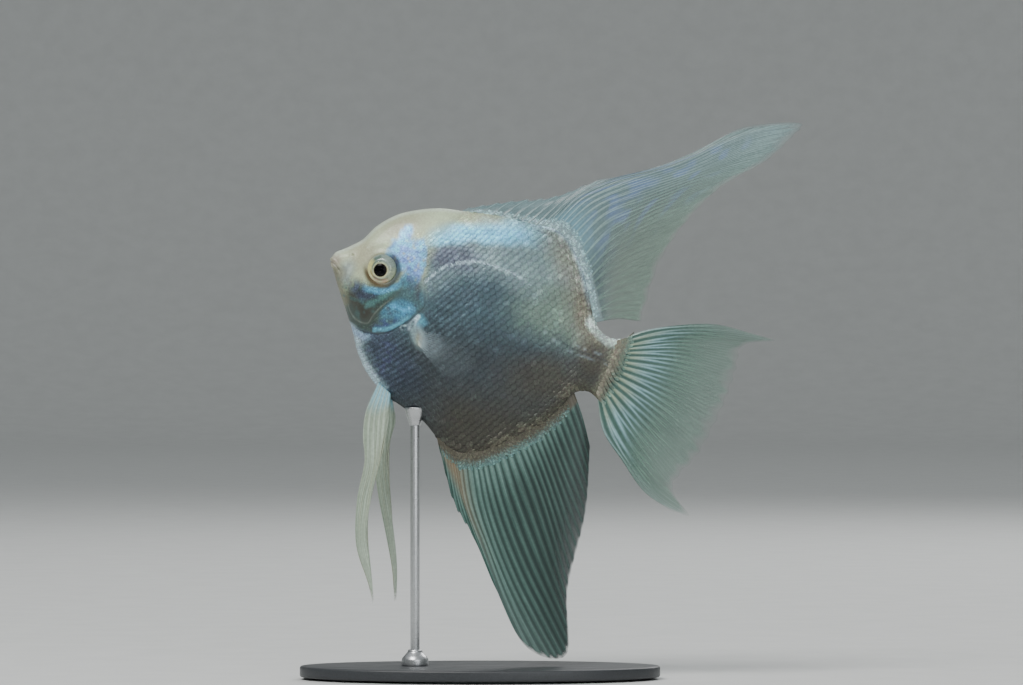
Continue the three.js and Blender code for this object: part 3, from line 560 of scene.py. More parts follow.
def freckle_colours(at, face, shining):
    freckled = smooth(0.15, 0.85, shining + 0.22 * at.fine)
    return coats(
        face,
        (LAVENDER * (1.2, 1.35, 1.2), 0.85 * freckled),
        (SKY * 0.92, 0.95 * freckled * smooth(-0.7, 0.3, at.fine + 0.7 * at.mid)),
        (PALE_EDGE, 0.7 * freckled * smooth(0.3, 0.7, at.field(0.8, 12))),
        (LAVENDER * 0.6, 0.55 * freckled * smooth(0.35, 0.75, at.field(1.0, 13))))


# %% Gill cover: grey-teal with a cyan spot, a bright blue patch, violet under it, a pale cyan rim
def gill_cover_colours(at, face, cover):
    xs, z, mid, fine = at.xs, at.z, at.mid, at.fine
    plain = coats(
        COVER_GREY,
        (COVER_TEAL, smooth(-0.7, 0.3, mid + 0.6 * fine)),
        (CHEEK_GREY, smooth(24.2, 21.4, xs)))
    cyan_spot = at.patch((25.0, 2.8), (1.9, 2.6), 0, 0.7)
    blue_patch = at.patch((27.2, -7.4), (4.6, 2.7), 27, 0.7)
    blue_core = at.patch((27.6, -7.2), (3.4, 1.9), 25, 0.8)
    violet_patch = at.patch((25.0, -12.9), (4.0, 1.3), 33, 0.7)
    return coats(
        face,
        (plain, 0.92 * cover),
        (CYAN * 0.75, 0.8 * cover * cyan_spot * smooth(-0.8, 0.2, fine)),
        (CYAN * 0.8, 0.5 * cover * at.near(COVER_REAR[12:24], 2.0, 0.6, 0.8 * fine) * smooth(-6, -1, z)),
        (TURQUOISE * (1.1, 0.8, 0.85), cover * blue_patch * smooth(-1.2, 0.2, fine + 0.4 * mid)),
        (SKY * (0.7, 0.7, 0.8), 0.55 * cover * blue_core * smooth(-0.1, 0.5, fine)),
        (VIOLET * (0.9, 1.4, 1.15), 0.9 * cover * violet_patch * smooth(-0.9, 0.0, fine)),
        (CYAN, 0.75 * at.near(CYAN_RIM, 1.1, 0.3, 0.25 * fine)),
        (CHEEK_GREY * 1.2, 0.7 * at.near(THROAT_RIM, 0.9, 0.3) * smooth(-13, -16, z)),
        (PALE_EDGE * 0.45, (0.5 + 0.3 * fine) * at.traced(THROAT_RIM, 0.4, 0.1)))


# %% The nape's pale edge, painted shade along the mouth's line and painted shade round the eye's socket
def rims_and_painted_shade(at, face):
    around = eye_distance(at.x, at.z)
    off_x, off_z = (at.x - EYE_AT[0]) / 5.2, (at.z - EYE_AT[1]) / 5.2
    rear_side = smooth(-0.3, 0.7, off_x + 0.25 * off_z)
    under_side = smooth(0.2, 0.85, -0.25 * off_x - off_z)
    return coats(
        face,
        (PALE_EDGE, 0.6 * smooth(1.6, 0.4, at.top) * smooth(0, 4, at.z)),
        # The mouth's line: painted shade in the cleft between the lips.
        (CHEEK_BROWN * 1.6, 0.4 * at.traced(MOUTH, 0.4, 0.1)),
        # Painted shade round the eye's socket: grey-blue behind the eye, brown under it, darker tan ahead and
        # above.
        (COVER_GREY * 0.45, 0.9 * smooth(1.6, 0.4, np.abs(around - 4.1)) * rear_side),
        (IRIS_BROWN * 0.55, smooth(1.5, 0.3, np.abs(around - 4.0)) * under_side * (1 - 0.6 * rear_side)),
        (TAN * 0.6, 0.5 * smooth(1.1, 0.2, np.abs(around - 3.9)) * (1 - rear_side) * (1 - under_side)))


# %% The colour of any place on the body, and how metallic it gleams
def markings(x, z, y):
    """Linear colour and gleam (0 to 1) for places in percent."""
    at = Places(x, z, y)
    xs, mid, fine = at.xs, at.mid, at.fine
    up, rear = smooth(8, 17, z), 1.3 * smooth(-9, -2, z)
    head = smooth(-0.5 - 2.4 * up - rear, 0.8 + 1.6 * up + rear, at.into_head + (0.5 + 0.7 * up) * mid)
    cover = smooth(-0.3 - rear, 0.9 + rear, within(x, z, COVER)) * smooth(7.5, 2.0, at.zs)
    shining = shining_patch(at)
    face = freckle_colours(at, snout_and_cheek_colours(at), shining)
    face = rims_and_painted_shade(at, gill_cover_colours(at, face, cover))

    # The throat under the gill cover, the pectoral's fleshy base, and glints behind the cover.
    throat = at.traced(THROAT_RIM - (0.5, 0.8), 1.6, 0.3, 0.3 * fine) * smooth(23.5, 19, xs)
    glints = at.traced(COVER_GLINT, 1.3, 0.3, 0.25 * fine)
    tone = coats(
        over(flank_colours(at), face, head),
        (SILVER * (0.55, 0.6, 0.75), 0.75 * throat),
        (CHEST * 1.6, 0.5 * at.traced(THROAT_RIM, 1.6, 0.4) * smooth(20, 24, xs)),
        (UPPER_GREY * 1.15, 0.85 * pectoral_base(x, z, 1.05, 0.4)),
        (CYAN, 0.7 * at.patch((35.6, -8.0), (1.7, 1.5), 0, 0.7) * smooth(-0.7, 0.1, fine)),
        (TAN * 0.75, 0.75 * spot(x, z, (36.9, -13.8), (2.0, 1.0), -69, 0.7)),
        (SILVER * 1.1, 0.9 * glints * smooth(-0.7, 0.2, fine)))
    tone *= (1 + 0.1 * at.wide + 0.08 * mid + 0.05 * fine)[:, None]

    gleam = 0.32 + 0.28 * np.maximum(smooth(8, 2, at.top), smooth(5, 1, at.keel)) * smooth(50, 62, xs)
    speckled = np.maximum(shining, at.near(UNDER_EYE, 2.6, 0.6))
    speckled = np.maximum(speckled, at.patch((16, -6), (9, 4), 0, 0.4))
    gleam = gleam * (1 - head) + head * (0.05 + 0.36 * speckled)
    gleam = np.maximum(gleam, np.maximum(0.35 * cover, 0.6 * glints))
    return np.clip(tone, 0, 1), gleam


# %% [markdown]
# ## Building a skin from a flat net
# The skin starts as a flat grid of squares. While it is flat it is easy to split the squares that
# will carry fine relief. Then every corner is sent to its place on the fish: across the grid is
# once round the body, along it is from the lips to the tail. The flat grid's own place is kept as
# the bake map, because it is already a clean unwrap.


# %% From a place on the flat net to a place on the fish
SNOUT_SHARE, SLEEVE_SHARE = 0.02, 0.035  # parts of the net for the closed snout and the tail's sleeve
COAT = 0.16  # depth of the scales, mm
SLEEVE = 2.6  # how far flesh runs out over the tail fin's rays, mm


def net_to_flank(u, v):
    t = np.clip((u - SNOUT_SHARE) / (1 - SNOUT_SHARE - SLEEVE_SHARE), 0, 1)
    turn = 2 * np.pi * v
    return t, turn - np.pi / 2 + 0.2 * np.sin(2 * turn)


def flank_to_net(t, angle):
    turns = np.linspace(0, 2 * np.pi, 721)
    v = np.interp(angle, turns - np.pi / 2 + 0.2 * np.sin(2 * turns), turns / (2 * np.pi))
    return SNOUT_SHARE + t * (1 - SNOUT_SHARE - SLEEVE_SHARE), v


def skin_place(u, v):
    """Places of the skin in the fish's frame, mm."""
    t, angle = net_to_flank(u, v)
    points = flank(t, angle)
    normal, _, _ = flank_frame(t, angle)
    x, z = in_percent(points)
    closed = np.clip(u / SNOUT_SHARE, 0, 1)
    steady = closed * smooth(1, 1 - 0.6 * SLEEVE_SHARE, u)
    height = relief(x, z) - COAT * scaled_share(x, z)
    points += normal * (height * steady)[:, None]

    # The eye's socket sinks straight in from the side.
    away = eye_distance(x, z)
    socket = 3.0 * smooth(3.8, 3.4, away) + 0.05 * smooth(4.4, 3.8, away)
    points[:, 1] -= np.sign(points[:, 1]) * np.clip(socket, 0, np.maximum(np.abs(points[:, 1]) - 0.3, 0))

    # The snout closes in a small dome.
    lips = (BACK[0] + BELLY[0]) / 2
    round_in = np.sin(closed * np.pi / 2)[:, None]
    points = np.where(closed[:, None] < 1, lips + (points - lips) * round_in, points)
    points[:, 0] -= 0.15 * np.cos(closed * np.pi / 2) * (closed < 1)

    # The flesh runs out over the tail fin's rays, thinner and thinner.
    out = np.clip((u - 1 + SLEEVE_SHARE) / SLEEVE_SHARE, 0, 1)
    points[:, 0] += SLEEVE * out * (1 - 0.25 * np.abs(np.sin(3 * np.pi * v)))
    points[:, 2] *= 1 + 0.3 * out
    points[:, 1] *= (1 - out) ** 0.8
    return points


# %% The skin's net, split where relief is fine
def split(bm, wanted):
    """Splits in four the faces whose middles (u, v) the test picks out."""
    bm.faces.ensure_lookup_table()
    middles = np.array([f.calc_center_median()[:2] for f in bm.faces]) + 0.5
    chosen = np.flatnonzero(wanted(*middles.T))
    edges = {edge for i in chosen for edge in bm.faces[i].edges}
    bmesh.ops.subdivide_edges(bm, edges=list(edges), cuts=1, use_grid_fill=True)


def side_place(u, v):
    """x and z in percent of places on the net, without relief."""
    return in_percent(flank(*net_to_flank(u, v)))


def on_face(u, v):
    x, z = side_place(u, v)
    return (within(x, z, HEAD) > -2.5) & (z < 13) & (z > -22) & (u > SNOUT_SHARE)


def on_crease(u, v):
    x, z = side_place(u, v)
    edge = np.minimum(off_line(x, z, COVER_REAR), off_line(x, z, COVER_FRONT)) < 1.1
    eye = np.abs(eye_distance(x, z) - 4.0) < 0.9
    mouth = (x < 6.5) & (off_line(x, z, MOUTH) < 2) & (u > SNOUT_SHARE)
    nostril = np.hypot(x - NOSTRIL_AT[0], z - NOSTRIL_AT[1]) < 1.5
    return edge | eye | mouth | nostril


# %% From a net to a finished, painted piece
def map_net(bm, place, name):
    """Sends a flat net (-0.5 to 0.5) to its place, and keeps the flat place as a UV map."""
    net = bm.loops.layers.uv.new(name)
    for face in bm.faces:
        for loop in face.loops:
            loop[net].uv = loop.vert.co.xy[0] + 0.5, loop.vert.co.xy[1] + 0.5
    flat_places = np.array([v.co[:2] for v in bm.verts]) + 0.5
    for vert, point in zip(bm.verts, to_room(place(*flat_places.T))):
        vert.co = point
    bmesh.ops.remove_doubles(bm, verts=bm.verts, dist=1e-7)
    bmesh.ops.dissolve_degenerate(bm, edges=bm.edges, dist=1e-7)


def finish_mesh(bm, name, outward=True):
    """Turns a bmesh into a smooth-shaded object of the scene."""
    if outward:
        bmesh.ops.recalc_face_normals(bm, faces=bm.faces)
    for face in bm.faces:
        face.smooth = True
    mesh = bpy.data.meshes.new(name)
    bm.to_mesh(mesh)
    bm.free()
    piece = bpy.data.objects.new(name, mesh)
    bpy.context.scene.collection.objects.link(piece)
    triangles = sum(len(p.vertices) - 2 for p in mesh.polygons)
    print(f"{name}: {triangles} triangles")
    return piece


def corners_of(piece):
    """The piece's vertices in the fish's frame: x and z in percent, y in mm."""
    co = np.empty(3 * len(piece.data.vertices))
    piece.data.vertices.foreach_get("co", co)
    room_x, y, room_z = (co.reshape(-1, 3) / MM).T
    cos, sin = math.cos(PITCH), math.sin(PITCH)
    dx, dz = room_x - SNOUT_AT[0], room_z - SNOUT_AT[1]
    return (dx * cos - dz * sin) / MM_PER_PERCENT, (dx * sin + dz * cos) / MM_PER_PERCENT, y


def paint(piece, **layers):
    """Stores colours (three columns) and plain numbers for each vertex, by name."""
    for name, values in layers.items():
        if np.ndim(values) == 2:
            layer = piece.data.color_attributes.new(name, "FLOAT_COLOR", "POINT")
            rgba = np.concatenate([np.clip(values, 0, 1), np.ones((len(values), 1))], 1)
            layer.data.foreach_set("color", rgba.astype(np.float32).ravel())
        else:
            layer = piece.data.attributes.new(name, "FLOAT", "POINT")
            layer.data.foreach_set("value", np.asarray(values, np.float32))


# %% The skin
bm = bmesh.new()
bmesh.ops.create_grid(bm, x_segments=206, y_segments=140, size=0.5)
split(bm, on_face)
split(bm, on_crease)
map_net(bm, skin_place, "OFBake")
skin = finish_mesh(bm, "skin")
skin_x, skin_z, skin_y = corners_of(skin)
skin_colours, skin_gleam = markings(skin_x, skin_z, skin_y)
bare = 1 - scaled_share(skin_x, skin_z)
# Where scales cover the skin, its colour is painted a fifth darker as shade under and between the plates.
paint(skin, marking=skin_colours * (0.8 + 0.2 * bare)[:, None], gleam=skin_gleam * (0.4 + 0.6 * bare))

# %% [markdown]
# ## Materials of skin and scales
# The colour comes from the painted attribute. Nodes add what paint alone can't: fine grain in the
# colour, a gleam that is metallic only where the skin carries silvery cells, a wet coat, and the
# pores that break up a highlight.


# %% Helpers for node trees
def new_finish(name, **values):
    """A Principled material with plain values set on its own sockets."""
    finish = bpy.data.materials.new(name)
    finish.use_nodes = True
    shader = finish.node_tree.nodes["Principled BSDF"]
    for socket, value in values.items():
        shader.inputs[socket.replace("_", " ")].default_value = value
    return finish, finish.node_tree, shader


def node(tree, kind, settings=None, **inputs):
    """A node with its settings, and its inputs linked or set by name, or by number as in0, in1."""
    made = tree.nodes.new("ShaderNode" + kind)
    for key, value in (settings or {}).items():
        setattr(made, key, value)
    for key, value in inputs.items():
        socket = made.inputs[int(key[-1]) if key[-1].isdigit() else key.replace("_", " ")]
        if isinstance(value, bpy.types.NodeSocket):
            tree.links.new(value, socket)
        else:
            socket.default_value = value
    return made


def grain(tree, scale, detail=3.0, roughness=0.55, vector=None):
    """A noise on Object coordinates. The scale is in cells per metre."""
    vector = vector or tree.nodes.new("ShaderNodeTexCoord").outputs["Object"]
    noise = node(tree, "TexNoise", Vector=vector, Scale=scale, Detail=detail, Roughness=roughness)
    return noise.outputs["Fac"]


def ramp(tree, factor, low, high, start=0.0, end=1.0):
    """Maps a factor from [low, high] to [start, end], with its ends held."""
    ends = {"From_Min": low, "From_Max": high, "To_Min": start, "To_Max": end}
    return node(tree, "MapRange", {"clamp": True}, Value=factor, **ends).outputs["Result"]


def tinted(tree, colour_socket, factor):
    """A colour made brighter or darker by a factor."""
    scaled = node(tree, "VectorMath", {"operation": "SCALE"}, Vector=colour_socket, Scale=factor)
    return scaled.outputs["Vector"]


def vector_of(tree, operation, *values, output="Vector"):
    """A node of vector arithmetic, its inputs filled in order."""
    inputs = {f"in{place}": value for place, value in enumerate(values)}
    return node(tree, "VectorMath", {"operation": operation}, **inputs).outputs[output]


def attribute(tree, name, output="Fac"):
    return node(tree, "Attribute", {"attribute_name": name}).outputs[output]


def bumped(tree, shader, height, depth):
    """Raises a height as bump, up to a depth in metres."""
    bump = node(tree, "Bump", Height=height, Distance=depth, Strength=1.0)
    tree.links.new(bump.outputs["Normal"], shader.inputs["Normal"])


def math_of(tree, operation, first, second=0.0):
    return node(tree, "Math", {"operation": operation}, in0=first, in1=second).outputs[0]


# %% The wet skin, and the same with plates
def sparkling(tree, colours, strength):
    """Breaks a colour into fine grains, some brighter, some turned to lavender or to cyan."""
    darkest, brightest = ramp(tree, strength, 0, 1, 1, 0.76), ramp(tree, strength, 0, 1, 1, 1.36)
    dots = ramp(tree, grain(tree, 2000, 4, 0.6), 0.4, 0.62, darkest, brightest)
    hue = math_of(tree, "MULTIPLY", math_of(tree, "SUBTRACT", grain(tree, 2000, 2), 0.5), strength)
    tint = vector_of(tree, "MULTIPLY_ADD", hue, (-0.3, 0.4, -0.05), (0.95, 1, 1.03))
    return vector_of(tree, "MULTIPLY", tinted(tree, colours, dots), tint)


def painted_plate_light(tree, plate, away):
    """Painted light and shade of a plate's places, and how its growth rings stand.

    The light from ahead and above is painted into the colour: the rows of plates are drawn as soft
    oblique stripes of painted light and shade, 1.02 plate radii apart, which run on from plate to
    plate. The plate attribute's z says how clearly.
    """
    clear = node(tree, "SeparateXYZ", Vector=plate).outputs["Z"]
    low_rear = vector_of(tree, "DOT_PRODUCT", plate, (0.866, -0.412, 0), output="Value")
    along = vector_of(tree, "DOT_PRODUCT", plate, (0.5, 0.87, 0), output="Value")
    low_rear = math_of(tree, "ADD", low_rear, ramp(tree, grain(tree, 900, 2), 0, 1, -0.22, 0.22))
    stripe = math_of(tree, "PINGPONG", math_of(tree, "SUBTRACT", low_rear, 0.3), 0.51)
    stripe = ramp(tree, stripe, 0.46, 0.05)
    stripe = math_of(tree, "MULTIPLY", stripe, ramp(tree, grain(tree, 700, 3), 0.36, 0.64, 0.45, 1.5))
    off_middle = math_of(tree, "ABSOLUTE", math_of(tree, "SUBTRACT", along, 0.15))
    stripe = math_of(tree, "MULTIPLY", stripe, ramp(tree, off_middle, 1.1, 0.3, 0.6, 1))
    light = ramp(tree, clear, 0, 1, 1, ramp(tree, stripe, 0, 1.2, 0.74, 1.5))
    uneven = math_of(tree, "ADD", away, ramp(tree, grain(tree, 1600, 2), 0, 1, 0, 0.22))
    rings = math_of(tree, "SINE", math_of(tree, "MULTIPLY", uneven, 52.0))
    return light, math_of(tree, "MULTIPLY", ramp(tree, rings, -1, 1, 0, 0.16), clear)


def wet_skin(name, pores, coat, plated=False):
    """Moist skin or, with plated set, the scales, which are drawn by their own plate coordinates."""
    finish, tree, shader = new_finish(name, Coat_Weight=coat, Coat_Roughness=0.12, IOR=1.42)
    gleam = attribute(tree, "gleam")
    colours = sparkling(tree, attribute(tree, "marking", "Color"), ramp(tree, gleam, 0.05, 0.5, 0.25, 1))
    height = grain(tree, pores, 4, 0.6)
    if plated:
        plate = attribute(tree, "plate", "Vector")
        away = vector_of(tree, "LENGTH", vector_of(tree, "MULTIPLY", plate, (1, 1, 0)), output="Value")
        light, rings = painted_plate_light(tree, plate, away)
        # The stripes' painted light and shade tint the colour, and each plate's rim is painted up to half
        # again as bright, to lighten the shade round its edge.
        colours = tinted(tree, tinted(tree, colours, light), ramp(tree, away, 0.8, 0.98, 1, 1.5))
        height = math_of(tree, "ADD", height, rings)
    tree.links.new(colours, shader.inputs["Base Color"])
    tree.links.new(ramp(tree, gleam, 0, 1, 0.0, 0.85), shader.inputs["Metallic"])
    tree.links.new(ramp(tree, grain(tree, 700), 0.3, 0.7, 0.34, 0.5), shader.inputs["Roughness"])
    bumped(tree, shader, height, 0.00008)
    return finish


# %% Dress the skin
skin.data.materials.append(wet_skin("moist skin", 1300, 0.24))
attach(skin, "root")
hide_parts("head", "lower_jaw", "trunk", "tail_stem", "gill_cover_left", "gill_cover_right")

# %% [markdown]
# ## Scales
# Scales grow in staggered rows, each rooted under the ones in front and free at its rounded rear
# edge. One plate is shaped with a few operators. Its rows follow the flank: they are counted from
# the middle line, up and down, by true distance over the surface, and spread and draw together as
# the body does. All the plates of a side become one mesh.

# %% One scale
SCALE_SIDES = 12
bm = bmesh.new()
bmesh.ops.create_circle(bm, segments=SCALE_SIDES, radius=1.0, cap_ends=True)
raised = bmesh.ops.extrude_face_region(bm, geom=bm.faces[:])["geom"]
top_face = [g for g in raised if isinstance(g, bmesh.types.BMFace)]
bmesh.ops.translate(bm, verts=[g for g in raised if isinstance(g, bmesh.types.BMVert)], vec=(0, 0, 0.5))
bmesh.ops.inset_region(bm, faces=top_face, thickness=0.16, depth=0.3)
bmesh.ops.inset_region(bm, faces=top_face, thickness=0.38, depth=0.1)
bmesh.ops.poke(bm, faces=top_face)
bmesh.ops.triangulate(bm, faces=[f for f in bm.faces if len(f.verts) > 4])
bmesh.ops.recalc_face_normals(bm, faces=bm.faces)
SCALE_CORNERS = np.array([v.co[:] for v in bm.verts])
SCALE_FACES = [[v.index for v in f.verts] for f in bm.faces]
bm.free()
print("one scale:", len(SCALE_CORNERS), "corners,", sum(len(f) - 2 for f in SCALE_FACES), "triangles")

# %% Rows of roots on the flank
LENGTH_GAP, ROW_GAP = 1.8, 1.56  # spacing of the scales along a row, and of the rows, mm
GROWTH = np.array([
    (18, 0.62), (30, 0.76), (42, 0.88), (52, 1.0), (66, 1.0), (78, 0.96), (88, 0.8), (95, 0.62), (101, 0.48),
])  # place in percent, and size of the scales there


def scale_growth(x):
    """The size of scales at a place, as a share of the largest."""
    return np.interp(x, GROWTH[:, 0], GROWTH[:, 1])


def column_of_roots(x_mm, gap, shifted):
    """t and angle of one column of roots on the right side, gap apart over the surface."""
    angle = np.linspace(-np.pi / 2, np.pi / 2, 241)
    low, high = np.zeros(len(angle)), np.ones(len(angle))
    share = (1 + np.sin(angle)) / 2
    for _ in range(26):
        t = (low + high) / 2
        ahead = through(BELLY, t)[:, 0] * (1 - share) + through(BACK, t)[:, 0] * share < x_mm
        low, high = np.where(ahead, t, low), np.where(ahead, high, t)
    points = flank(t, angle)
    run = np.concatenate([[0], np.cumsum(np.linalg.norm(np.diff(points, axis=0), axis=1))])
    run -= np.interp(0, points[:, 2], run)
    rows = np.arange(math.ceil(run[0] / gap), math.floor(run[-1] / gap) + 1) + (0.5 if shifted else 0)
    at = rows[rows * gap < run[-1]] * gap
    return np.interp(at, run, t), np.interp(at, run, angle)


def rows_of_roots(start, end, length_gap, row_gap):
    """t, angle and growth of staggered roots between two places along the fish, in percent."""
    columns, x_mm, shifted = [], percent(start), False
    while x_mm < percent(end):
        growth = scale_growth(x_mm / MM_PER_PERCENT)
        t, angle = column_of_roots(x_mm, 2 * row_gap * growth, shifted)
        columns.append((t, angle, np.full(len(t), growth)))
        x_mm += length_gap * growth / 2
        shifted = not shifted
    return [np.concatenate(parts) for parts in zip(*columns)]


roots_t, roots_angle, roots_growth = rows_of_roots(10, 101.5, LENGTH_GAP, ROW_GAP)
root_points = flank(roots_t, roots_angle)
keep = (scaled_share(*in_percent(root_points)) > 0.5) & (roots_t < 0.9995)
roots_t, roots_angle, roots_growth = roots_t[keep], roots_angle[keep], roots_growth[keep]
print("scales on a side:", len(roots_t))


# %% Setting plates on roots
def lay_plates(
    name, points, normals, tailward, upward, length, width, lift, unwrap, ask, contrast, flashes, seed,
    bend=0.0, turn=0.0,
):
    """Joins one plate for each root into one mesh. Sizes are in mm, bend is 1 / radius across."""
    rng = np.random.default_rng(seed)
    count, step = len(points), len(SCALE_CORNERS)
    contrast, bend = (np.broadcast_to(value, count)[:, None] for value in (contrast, bend))
    turn = (turn + rng.normal(0, 0.07, count))[:, None]
    tilt = (lift * (1 + rng.normal(0, 0.12, count)))[:, None]
    cx, cy, cz = SCALE_CORNERS.T
    along, across = 0.5 * length[:, None] * cx, 0.5 * width[:, None] * cy * (1 - 0.1 * cx)
    cos, sin = np.cos(turn), np.sin(turn)
    along, across = along * cos - across * sin, across * cos + along * sin
    thickness = np.minimum(0.016, 0.015 * length)[:, None]
    height = thickness * (cz - 0.5) + tilt * (0.5 + 0.5 * cx) - 0.5 * bend * across**2
    corners = points[:, None] + along[..., None] * tailward[:, None] + across[..., None] * upward[:, None]
    corners = (corners + height[..., None] * normals[:, None]).reshape(-1, 3)

    sizes, loops = [len(f) for f in SCALE_FACES], np.concatenate(SCALE_FACES)
    mesh = bpy.data.meshes.new(name)
    mesh.vertices.add(count * step)
    mesh.vertices.foreach_set("co", to_room(corners).ravel())
    mesh.loops.add(count * len(loops))
    mesh.loops.foreach_set("vertex_index", (np.arange(count)[:, None] * step + loops).ravel())
    mesh.polygons.add(count * len(sizes))
    mesh.polygons.foreach_set("loop_start", np.concatenate([[0], np.cumsum(np.tile(sizes, count))[:-1]]))
    mesh.update(calc_edges=True)
    mesh.polygons.foreach_set("use_smooth", np.ones(len(mesh.polygons), bool))
    piece = bpy.data.objects.new(name, mesh)
    bpy.context.scene.collection.objects.link(piece)

    # Each plate is one small patch of the bake map, at its root's place on the skin's own unwrap.
    patch = 0.0015 * SCALE_CORNERS[loops][:, :2]
    uv = (unwrap[:, None] + patch[None]).reshape(-1, 2)
    mesh.uv_layers.new(name="OFBake", do_init=False).uv.foreach_set("vector", uv.astype(np.float32).ravel())

    # Every plate has a tone of its own, and a few flash.
    flash = rng.random(count) < flashes
    own = (1 + contrast[:, 0] * rng.normal(0, 0.08, count)) * np.where(flash, 1.25 + flashes, 1)
    tint = 1 + rng.normal(0, 0.015, (count, 3))
    shades, shine = ask(corners)
    shades = shades.reshape(count, step, 3) * tint[:, None] * own[:, None, None]
    shine = shine.reshape(count, step) * np.where(flash, 1.3, 1)[:, None]
    paint(piece, marking=shades.reshape(-1, 3), gleam=np.clip(shine, 0, 1).ravel())
    rise = np.where(upward[:, 2:] < -0.3, -1, 1)
    plate = np.stack(np.broadcast_arrays(cx, rise * cy, contrast), 2).astype(np.float32)
    mesh.attributes.new("plate", "FLOAT_VECTOR", "POINT").data.foreach_set("vector", plate.ravel())
    print(f"{name}: {count} plates, {sum(s - 2 for s in sizes) * count} triangles")
    return piece


def marked(corners):
    """Colour and gleam of places in the fish's frame, mm."""
    return markings(*in_percent(corners), corners[:, 1])


# %% The scales' finish: a scale's own growth rings, too fine to model, are raised as bump
scale_finish = wet_skin("scale", 2600, 0.18, plated=True)


# %% The scales of each side
def stand_on_flank(t, angle):
    """Places, normals, tailward and upward directions, and the bend across, for roots."""
    points = flank(t, angle)
    normal, tailward, _ = flank_frame(t, angle)
    tailward = np.where(tailward[:, :1] < 0, -tailward, tailward)
    above, below = flank_frame(t, angle + 0.05)[0], flank_frame(t, angle - 0.05)[0]
    run = np.linalg.norm(flank(t, angle + 0.05) - flank(t, angle - 0.05), axis=1)
    bend = np.linalg.norm(above - below, axis=1) / np.maximum(run, 1e-3)
    return points, normal, tailward, np.cross(normal, tailward), bend


def side_plates(
    name, side, t, angle, length, width, lift, contrast, height, seed, ask=marked, turn=0.0, flashes=0.08,
):
    """Lays plates on one side, for roots that are given on the right side."""
    if side == LEFT:
        angle, turn = np.pi - angle, -turn
    points, normal, tailward, upward, bend = stand_on_flank(t, angle)
    unwrap = np.stack(flank_to_net(t, np.where(angle > 1.5 * np.pi, angle - 2 * np.pi, angle)), 1)
    points = points + normal * np.broadcast_to(height, len(t))[:, None]
    plates = lay_plates(
        name, points, normal, tailward, upward, length, width, lift, unwrap, ask, contrast, flashes, seed,
        bend, turn)
    plates.data.materials.append(scale_finish)
    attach(plates, "root")


root_x, root_z = in_percent(root_points[keep])
from_keel = np.minimum(off_line(root_x, root_z, BACK_LINE), off_line(root_x, root_z, BELLY_LINE))
from_head = -within(root_x, root_z, HEAD)
nape = smooth(9, 3, off_line(root_x, root_z, BACK_LINE)) * smooth(58, 40, root_x)
firmness = (0.35 + 0.65 * smooth(0, 6, from_head)) * (0.5 + 0.5 * smooth(0.4, 3, from_keel))
firmness = firmness * (1 - 0.75 * nape)
clear = firmness * (1.1 - 0.68 * smooth(42, 64, root_x - 0.6 * np.minimum(root_z, 0)))
glitter = smooth(6, 1, from_keel) * smooth(48, 60, root_x) * smooth(97, 92, root_x)
plate_size = roots_growth * (0.66 + 0.34 * smooth(0.3, 2.6, from_keel))
plate_size = plate_size * (0.7 + 0.3 * smooth(0, 4, from_head))
for side, word in ((LEFT, "left"), (RIGHT, "right")):
    side_plates(
        f"scales_{word}", side, roots_t, roots_angle,
        length=1.7 * LENGTH_GAP * plate_size, width=1.62 * ROW_GAP * plate_size,
        lift=0.034 * firmness * roots_growth, contrast=clear, height=-COAT * (0.8 + 0.2 * firmness),
        seed=11 + side, flashes=0.08 + 0.4 * glitter)

# %% Small scales behind the eye and on cheek and gill cover, and the tubed scales of the lateral line
face_t, face_angle, face_growth = rows_of_roots(9, 37, 1.15, 1.0)
face_points = flank(face_t, face_angle)
face_x, face_z = in_percent(face_points)
behind = spot(face_x, face_z, (25.0, 12.0), (8.6, 10.6), 0, 0.5)
under = spot(face_x, face_z, (17.6, -5.0), (8.6, 3.6), 12, 0.3)
into_cover = within(face_x, face_z, COVER)
on_cover = smooth(0.6, 1.6, into_cover)
shown = np.maximum(np.maximum(behind, under), on_cover) * smooth(0.3, 1.2, np.abs(into_cover))
chosen = (within(face_x, face_z, HEAD) > -0.5) & (shown > 0.3) & (eye_distance(face_x, face_z) > 5.0)
TUBES = 26
line_points = by_length([(x, 0, z) for x, z in LATERAL_LINE[::6]], np.linspace(0.01, 1, TUBES))[0]
line_turn = np.arctan2(*np.gradient(line_points, axis=0).T[[2, 0]])
tube_t, tube_angle = place_on_flank(percent(line_points[:, 0]), percent(line_points[:, 2]))


def silvered(corners):
    """Colour and gleam with a broken coat of silver, for the tubed scales."""
    shades, shine = marked(corners)
    x = corners[:, 0] / MM_PER_PERCENT
    uneven = np.clip(0.6 + 0.6 * mottle(corners, 0.9, 6), 0, 1)
    return over(shades, SILVER, uneven * smooth(30, 33, x) * smooth(70, 56, x)), 0.6 * shine


for side, word in ((LEFT, "left"), (RIGHT, "right")):
    size, strength = face_growth[chosen], shown[chosen]
    side_plates(
        f"face_scales_{word}", side, face_t[chosen], face_angle[chosen], length=1.9 * size, width=1.5 * size,
        lift=0.05 * strength, contrast=0.7 * strength,
        height=relief(face_x, face_z)[chosen] - 0.07 + 0.03 * strength, seed=21 + side)
    tube_length, tube_width, tube_lift = (np.full(TUBES, value) for value in (0.95, 0.28, 0.08))
    side_plates(
        f"lateral_line_{word}", side, tube_t, tube_angle, tube_length, tube_width, tube_lift,
        contrast=0.3, height=0.03, seed=31 + side, ask=silvered, turn=line_turn)

# %% [markdown]
# ## Fins
# A fin is a thin sheet stretched between rays. Each fin is given by a few guide rays, and the
# rays between are blended from them. The sheet is one flat net for each face: every ray swells
# both faces into a fine ridge that splits in two, and in two again, towards the edge, and the
# membrane between the tips falls back a little. The two nets meet in a thin edge all round.

